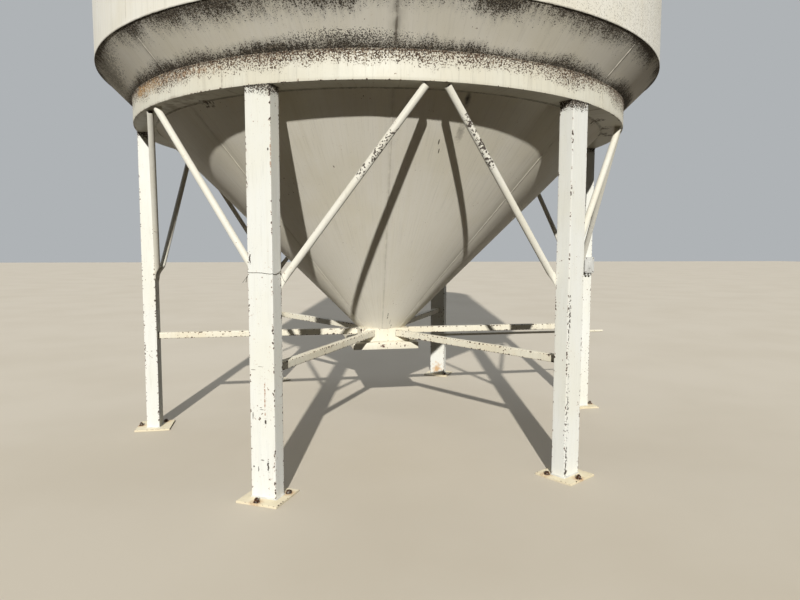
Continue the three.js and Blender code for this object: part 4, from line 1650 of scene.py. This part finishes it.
@dataclass(frozen=True)
class CrankShaft(Part):
    """The crank shaft: a pipe across the silo, open at both ends, with two toothed pinions."""

    teeth: int = 8  # how many a pinion has
    tip: float = 0.0252  # the radius of the teeth's tips
    root: float = 0.0165  # the radius between the teeth
    width: float = 0.020  # of a pinion
    offset: float = 0.150  # each pinion's distance from the middle
    diameter: float = 0.0213  # of the pipe
    wall: float = 0.0026  # of the pipe
    hub: float = 0.0150  # the radius of a pinion's hub
    ease: float = 0.0008  # the rounding of the pipe's ends

    def build(self) -> None:
        """Builds the pipe and its pinions."""
        box, rows = Block.of("crank_shaft"), 60
        axis = Vector((0.0, box.middle.y, box.middle.z))
        radius, start, end = self.diameter / 2, box.low.x, box.high.x
        ends = [(end, radius - self.ease), (end, radius - self.wall), (start, radius - self.wall)]
        rings = [(start, radius - self.ease)]
        rings += [(x, radius) for x in steps(start + self.ease, end - self.ease, rows)]
        steel = Plating()
        steel.loft([circle(axis + RIGHT * x, BACK, UP, size, 24) for x, size in rings + ends],
                   along=True, skins=[0] * (rows + 3) + [1, 0])
        steel.skin = 2
        for x in (-self.offset, self.offset):
            self.draw_pinion(steel, axis + RIGHT * x)
        finishes = [self.coat[cover] for cover in (Cover.TUBE, Cover.BORE, Cover.STEEL)]
        steel.piece("crank_pipe", finishes, ["crank_shaft"], Body.CRANK)

    def draw_pinion(self, steel: Plating, middle: Vector) -> None:
        """Draws one pinion, with a tooth that points straight down at rest, and its hub.

        Args:
            steel: the piece.
            middle: the pinion's middle on the shaft's axis.
        """
        outline = []
        for tooth in range(self.teeth):
            for share, size in ((-0.30, self.root), (-0.15, self.tip), (0.15, self.tip), (0.30, self.root)):
                angle = 2 * math.pi * (tooth + share) / self.teeth - math.pi / 2
                outline.append(Vector((0.0, size * math.cos(angle), size * math.sin(angle))))
        half = self.width / 2
        faces = ((-half, 0.94), (-half + 0.001, 1.0), (half - 0.001, 1.0), (half, 0.94))
        steel.loft([[middle + RIGHT * x + point * ease for point in outline] for x, ease in faces])
        hub = ((-half - 0.008, self.hub * 0.93), (-half - 0.006, self.hub), (half + 0.006, self.hub),
               (half + 0.008, self.hub * 0.93))
        steel.turned(middle, (RIGHT, BACK, UP), hub, 20)


@dataclass(frozen=True)
class SwitchBox(Part):
    """The switch housing on the near side of the right leg: a pressed box with a lid and glands."""

    corner: float = 0.010  # the rounding of its corners
    lid: float = 0.014  # the lid's thickness
    groove: float = 0.0025  # the depth of the groove round the lid
    gland_drop: float = 0.026  # how far the glands hang under the housing
    screw_inset: float = 0.013  # how far the screws stand from the lid's edges
    # Profiles, by distance along the axis and radius.
    screw: Outline = ((-0.002, 0.0042), (0.0006, 0.0042), (0.0018, 0.0034), (0.0024, 0.0016))
    gland_hexagon: Outline = ((0.001, 0.011), (-0.008, 0.011))
    gland_dome: Outline = ((-0.007, 0.0088), (-0.011, 0.0088), (-0.012, 0.0104), (-0.019, 0.0104),
                           (-0.024, 0.0078), (-0.026, 0.005))

    def build(self) -> None:
        """Builds the housing, the glands and the screws."""
        box = Block.of("switch_box")
        low = box.low + UP * self.gland_drop
        size, centre = box.high - low, (box.high + low) / 2
        outline, corners = rounded_rectangle(size.x, size.z, self.corner, (3, 5))
        bar, _ = rounded_rectangle(0.022, 0.060, 0.004)

        def loop(depth: float, inset: float, points: Outline = outline) -> Loop:
            """A loop of the housing at a distance in front of the leg."""
            shrunk = [[v - math.copysign(min(inset, abs(v)), v) for v in point] for point in points]
            return [Vector((centre.x + x, box.high.y - depth, centre.z + z)) for x, z in shrunk]

        depth, groove = size.y, self.groove
        parting = depth - self.lid
        profile = ((0.0, 0.001), (0.001, 0.0), (parting - 0.002, 0.0), (parting - 0.001, groove),
                   (parting + 0.001, groove), (parting + 0.002, 0.0), (depth - 0.004, 0.0),
                   (depth - 0.0012, 0.0014), (depth, 0.005))
        steel = Plating()
        steel.loft([loop(*step) for step in profile], corners)
        handle = ((-0.001, 0.0), (0.0045, 0.0), (0.006, 0.003))
        steel.loft([loop(depth + out, inset, bar) for out, inset in handle])
        for x in (low.x + size.x / 3, box.high.x - size.x / 3):
            for gland, sides in ((self.gland_hexagon, 6), (self.gland_dome, 18)):
                steel.turned(Vector((x, centre.y, low.z)), UPRIGHT, gland, sides)
        steel.skin = 1
        wide, tall = size.x / 2 - self.screw_inset, size.z / 2 - self.screw_inset
        for x, z in ((-wide, -tall), (-wide, tall), (wide, -tall), (wide, tall)):
            steel.turned(Vector((centre.x + x, low.y, centre.z + z)), (OUTWARDS, RIGHT, UP), self.screw, 14)
        finishes = [self.coat[Cover.GREY], self.coat[Cover.ZINC]]
        steel.piece("switch_housing", finishes, ["switch_box"], slot=Slot.GREY)


# ---- Studio ----


@dataclass(frozen=True)
class Studio:
    """The camera, the light and the floor. Angles are in degrees, places in metres."""

    eye: tuple[float, float, float] = (-0.834, -5.122, 1.444)  # the camera's place
    heading: float = 11.03  # how far to the right of +Y it looks
    pitch: float = -4.84  # how far up it looks
    roll: float = 0.13  # how far it leans
    lens: float = 27.354  # its focal length, in millimetres
    sensor: float = 36.0  # its sensor's width, in millimetres
    sun_heading: float = 11.6  # the way the light travels, to the right of +Y
    sun_drop: float = 25.0  # how steeply the light falls
    sun_softness: float = 0.9  # how wide the lamp looks from the silo
    sun_strength: float = 4.5
    near_strength: float = 0.25  # of the soft light from above, on the lamp's side
    far_strength: float = 1.3  # of the same on the other side, which the lamp leaves in the shade
    ground_strength: float = 0.04  # of the soft light from below
    floor_half: float = 60.0  # half of the floor's side
    floor_level: float = -0.0005  # just under the base plates

    def set_camera(self) -> None:
        """Sets the camera where the photograph was taken."""
        data = bpy.data.cameras.new("camera")
        data.lens, data.sensor_width, data.clip_end = self.lens, self.sensor, 500.0
        camera = bpy.data.objects.new("camera", data)
        aim = Matrix.Rotation(math.radians(-self.heading), 3, "Z")
        aim @= Matrix.Rotation(math.radians(90 + self.pitch), 3, "X")
        aim @= Matrix.Rotation(math.radians(self.roll), 3, "Z")
        camera.matrix_world = Matrix.Translation(self.eye) @ aim.to_4x4()
        bpy.context.scene.collection.objects.link(camera)
        bpy.context.scene.camera = camera

    def set_light(self) -> None:
        """Sets one lamp behind the camera, and soft light from above and a little from below."""
        data = bpy.data.lights.new("key", "SUN")
        data.energy, data.angle = self.sun_strength, math.radians(self.sun_softness)
        data.color = (1.0, 0.985, 0.95)
        lamp = bpy.data.objects.new("key", data)
        drop = math.radians(self.sun_drop)
        travel = polar(math.cos(drop), 180 - self.sun_heading, -math.sin(drop))
        lamp.rotation_euler = travel.to_track_quat("-Z", "Y").to_euler()
        bpy.context.scene.collection.objects.link(lamp)
        world = bpy.data.worlds.new("studio")
        world.use_nodes = True
        world.node_tree.nodes.clear()
        node = partial(add_node, world.node_tree)
        sees = node("ShaderNodeLightPath").outputs["Is Camera Ray"]
        way = node("ShaderNodeSeparateXYZ", {0: node("ShaderNodeTexCoord").outputs["Generated"]})
        above = node("ShaderNodeMapRange", {0: way.outputs["Z"], 1: 0.0, 2: 0.6}).outputs[0]
        beyond = node("ShaderNodeMapRange", {0: way.outputs["Y"], 1: 0.0, 2: 0.8}).outputs[0]
        lights = (("#E6C9A6", self.ground_strength), ("#DDE3EA", self.near_strength),
                  ("#DDE3EA", self.far_strength), ("#AFB3B6", 1.0))
        below, near, far, backdrop = (
            node("ShaderNodeBackground", {"Color": linear(colour), "Strength": strength}).outputs[0]
            for colour, strength in lights)
        sky = node("ShaderNodeMixShader", {0: beyond, 1: near, 2: far}).outputs[0]
        soft = node("ShaderNodeMixShader", {0: above, 1: below, 2: sky}).outputs[0]
        both = node("ShaderNodeMixShader", {0: sees, 1: soft, 2: backdrop}).outputs[0]
        node("ShaderNodeOutputWorld", {"Surface": both})
        bpy.context.scene.world = world
        bpy.context.scene.view_settings.view_transform = "Standard"

    def set_floor(self) -> None:
        """Lays the plain floor just under the base plates."""
        mesh, half = bpy.data.meshes.new("floor"), self.floor_half
        corners = ((-half, -half), (half, -half), (half, half), (-half, half))
        mesh.from_pydata([(x, y, self.floor_level) for x, y in corners], [], [(0, 1, 2, 3)])
        mesh.materials.append(StudioFloor("floated_concrete").made())
        floor = bpy.data.objects.new("floor", mesh)
        floor.visible_diffuse = False  # the light from below stands for what the floor would send up
        bpy.context.scene.collection.objects.link(floor)


# ---- Where the enamel is marked, as the photograph shows it ----

OCHRE, BROWN, SCALE, DUST, GRIME = "#B08547", "#9A6A45", "#4A4036", "#6A6054", "#5B5040"
LEG_MARKS = (
    Mark((-0.8845, -1.688, 1.96), (0.005, 0.005, 0.115), BROWN, 0.9, 0.7),
    Mark((-0.898, -1.680, 1.982), (0.006, 0.006, 0.008), broken=0.2),
    Mark((-1.0065, -1.6175, 1.387), (0.008, 0.008, 0.034)),
    Mark((-0.9365, -1.658, 0.588), (0.005, 0.005, 0.15), BROWN, 0.8, 0.85),
    Mark((-0.9355, -1.659, 0.46), (0.006, 0.006, 0.02)),
    Mark((-0.955, -1.648, 0.53), (0.018, 0.012, 0.0022), SCALE, 0.2),
    Mark((-0.960, -1.645, 0.541), (0.010, 0.007, 0.002), SCALE, 0.2),
    Mark((-1.005, -1.618, 0.49), (0.005, 0.004, 0.026), "#5A5044", 0.3, 0.7),
    Mark((-0.998, -1.622, 0.757), (0.022, 0.014, 0.003), DUST, 0.2, 0.7),
    Mark((-0.957, -1.646, 0.777), (0.024, 0.015, 0.002), DUST, 0.2, 0.7),
    Mark((-1.02, -1.61, 0.172), (0.005, 0.005, 0.016)),
    Mark((-1.005, -1.618, 0.192), (0.008, 0.006, 0.010)),
    Mark((-0.979, -1.633, 0.178), (0.004, 0.004, 0.018)),
    Mark((-0.955, -1.647, 0.236), (0.014, 0.010, 0.003), SCALE, 0.3),
    Mark((-0.924, -1.665, 0.200), (0.008, 0.008, 0.040)),
    Mark((0.897, -1.681, 0.115), (0.012, 0.012, 0.12), broken=1.5),
    Mark((0.897, -1.681, 0.45), (0.010, 0.010, 0.22), broken=3.4, cover=0.8),
    Mark((0.897, -1.681, 1.01), (0.012, 0.012, 0.13), broken=1.7),
    Mark((0.9045, 1.567, 0.080), (0.085, 0.06, 0.08), "#BD8F4F", 0.5, 0.8, 0.03, 0.8),
)
BLOTS = tuple(Mark((x, y, 2.32), (0.06, 0.06, 0.035), "#3D3026", 0.9, 0.9, 0.02, 0.6)
              for x, y in ((1.32, -1.17), (1.52, -0.93), (1.70, -0.68), (1.62, -0.72), (-1.26, -1.19)))
RING_MARKS = (
    *BLOTS,
    Mark((-1.64, -0.96, 2.45), (0.26, 0.26, 0.05), OCHRE, 1.0, 0.35),
    Mark((-1.35, -1.34, 2.452), (0.38, 0.34, 0.036), "#97734E", 1.2, 0.42, 0.03, 0.8),
    Mark((-1.72, -0.82, 2.455), (0.06, 0.10, 0.035), OCHRE, 1.0, 0.6),
    Mark((-1.50, -0.98, 2.324), (0.46, 0.50, 0.020), "#6B5A45", 0.8, 0.55, 0.05, 0.9),
    Mark((1.145, -1.521, 2.408), (0.006, 0.006, 0.05), "#6F6455", 0.9, 0.6),
    Mark((1.196, -1.482, 2.377), (0.004, 0.004, 0.045), "#5F5548", 0.6, 0.7),
)
GATE_MARKS = tuple(Mark((x, -0.268, z), (wide, 0.02, tall), "#57372A", 0.6) for x, z, wide, tall in (
    (-0.028, 0.650, 0.020, 0.020), (-0.060, 0.672, 0.012, 0.006), (0.155, 0.648, 0.008, 0.010)))
PIPE_MARKS = tuple(Mark(spot, (0.03, 0.016, 0.05), broken=1.7) for spot in (
    (-0.262, -1.815, 1.994), (-0.295, -1.804, 1.970), (-0.33, -1.794, 1.952), (-0.405, -1.769, 1.882),
    (-0.221, -1.825, 2.050), (0.195, -1.846, 2.135), (0.235, -1.830, 2.083), (0.283, -1.811, 2.017),
    (0.330, -1.790, 1.940)))
CONE_MARKS = (
    Mark((0.002, -0.33, 0.912), (0.005, 0.05, 0.05), GRIME, 0.9, 0.8),
    Mark((0.030, -0.26, 0.845), (0.004, 0.03, 0.03), GRIME, 0.9, 0.8),
    Mark((0.045, -0.22, 0.806), (0.004, 0.03, 0.03), GRIME, 0.9, 0.8),
    Mark((0.109, -1.499, 2.085), (0.005, 0.02, 0.025), "#4A4234", 0.1),
    Mark((0.121, -1.452, 2.039), (0.004, 0.02, 0.02), "#4A4234", 0.1),
    Mark((0.225, -1.70, 2.295), (0.026, 0.062, 0.062), "#241F1A", 0.2, 0.9, 0.02, 0.8),
    Mark((0.230, -1.54, 2.14), (0.030, 0.085, 0.085), "#3E3629", 0.3, 0.5, 0.02, 0.9),
    Mark((-0.55, -1.915, 2.528), (0.40, 0.15, 0.034), "#3A332B", 1.3, 0.9, 0.007),
    Mark((-1.92, -0.55, 2.64), (0.14, 0.5, 0.16), "#4B4438", 0.9, 0.5),
    *BLOTS,
)
WALL_MARKS = (Mark((1.60, -1.40, 2.95), (0.50, 0.70, 0.60), "#8A8578", 8.0, 0.5, 0.008, 0.6),)


def mixed_finishes(plan: SiloPlan) -> dict[Cover, Material]:
    """Mixes every finish once.

    Args:
        plan: the silo's main lines.

    Returns:
        The materials, by what they cover.
    """
    speckled, blackened = ("#2C221B", "#6B5846", "#AFA592"), ("#26201B", "#5A5146", "#B4AEA0")
    under_wall = Lichen(plan.hopper_top, -0.102, 0.7, 0.75, fade=1.6)
    over_ring = Lichen(plan.ring_top, 0.062, 0.85, 0.9, fade=1.2)
    on_ring = Lichen(plan.ring_top + 0.002, -0.1, 0.6, 0.15, speckled, 0.008, 0.6)
    leg_head = Lichen(plan.ring_bottom, -0.062, 0.75, 0.2, blackened, 0.0068, 0.8)
    looks = {
        Cover.WALL: dict(colour="#E2DFD4", warm="#D7D1BE", runs=0.12, flecks=0.1, chips=0.0, rust=0.3,
                         round_silo=True, marks=WALL_MARKS),
        Cover.ROOF: dict(colour="#CFCBBD", warm="#BEB7A2", runs=0.4, flecks=0.35, chips=0.05,
                         round_silo=True),
        Cover.CONE: dict(colour="#EBE6D8", warm="#E2DBC6", runs=0.12, chips=0.05, rust=0.35, round_silo=True,
                         lichen=(under_wall, over_ring), marks=CONE_MARKS),
        Cover.RING: dict(colour="#D6D3C4", warm="#D0CAB6", runs=0.2, chips=0.1, corner_wear=0.012, rust=0.4,
                         round_silo=True, lichen=(on_ring,), marks=RING_MARKS),
        Cover.LEG: dict(colour="#DFDFD8", warm="#DCDACC", runs=0.1, chips=0.3, corner_wear=0.01,
                        knocked_below=1.3, lichen=(leg_head,), marks=LEG_MARKS),
        Cover.PLATE: dict(colour="#E1D6BA", warm="#D5C7A2", runs=0.0, chips=0.5, corner_wear=0.01, rust=0.8),
        Cover.PIPE: dict(colour="#DDDACE", warm="#D8D3C1", runs=0.1, chips=0.3, marks=PIPE_MARKS),
        Cover.TUBE: dict(colour="#DDD8C6", warm="#D6CCB2", runs=0.15, chips=0.75, corner_wear=0.006,
                         marks=GATE_MARKS),
    }
    finishes: dict[Cover, Finish] = {
        cover: CreamEnamel(f"cream_enamel_{cover.value}", **look) for cover, look in looks.items()}
    finishes |= {Cover.ZINC: RustedZinc("rusted_zinc"), Cover.WIRE: RustedZinc("dull_zinc", 0.15),
                 Cover.STEEL: MillSteel("mill_steel"), Cover.GREY: GreyEnamel("grey_stove_enamel"),
                 Cover.BORE: BlackBore("black_bore")}
    return {cover: finish.made() for cover, finish in finishes.items()}


# ---- The silo ----


@dataclass(frozen=True)
class GrainSilo:
    """The whole silo, built in the order that it was welded up."""

    plan: SiloPlan
    legs: int = 6
    first_leg: float = -30.0  # its azimuth

    def build(self) -> None:
        """Builds every piece."""
        coat = mixed_finishes(self.plan)
        known = self.plan, coat
        for part in (WallShell, Hopper, Roof, RingBeam, Outlet):
            part(*known).build()
        for k in range(self.legs):
            azimuth = self.first_leg + 360 / self.legs * k
            inner_side = -0.098 if k % 2 else 0.098
            anchors = (Anchor(-0.01, 0.108, tilt=8.0 + 13 * k),
                       Anchor(inner_side, -0.066, tail=0.002, tilt=21.0 + 9 * k))
            Leg(*known, k + 1, azimuth, anchors).build()
            Brace(*known, 2 * k + 1, azimuth, -1).build()
            Brace(*known, 2 * k + 2, azimuth, 1).build()
            Strut(*known, k + 1, azimuth).build()
        WireTie(*known).build()
        eased_copy("gate_frame", "gate_channels", coat[Cover.TUBE])
        eased_copy("crank_bracket", "bearing_plate", coat[Cover.TUBE])
        for part in (SlideGate, CrankShaft, SwitchBox):
            part(*known).build()


def main() -> None:
    """Sets the studio and builds the silo."""
    logging.basicConfig(level=logging.INFO, format="%(message)s")
    studio = Studio()
    studio.set_camera()
    studio.set_light()
    studio.set_floor()
    GrainSilo(SiloPlan.measured()).build()


if __name__ == "__main__":
    main()
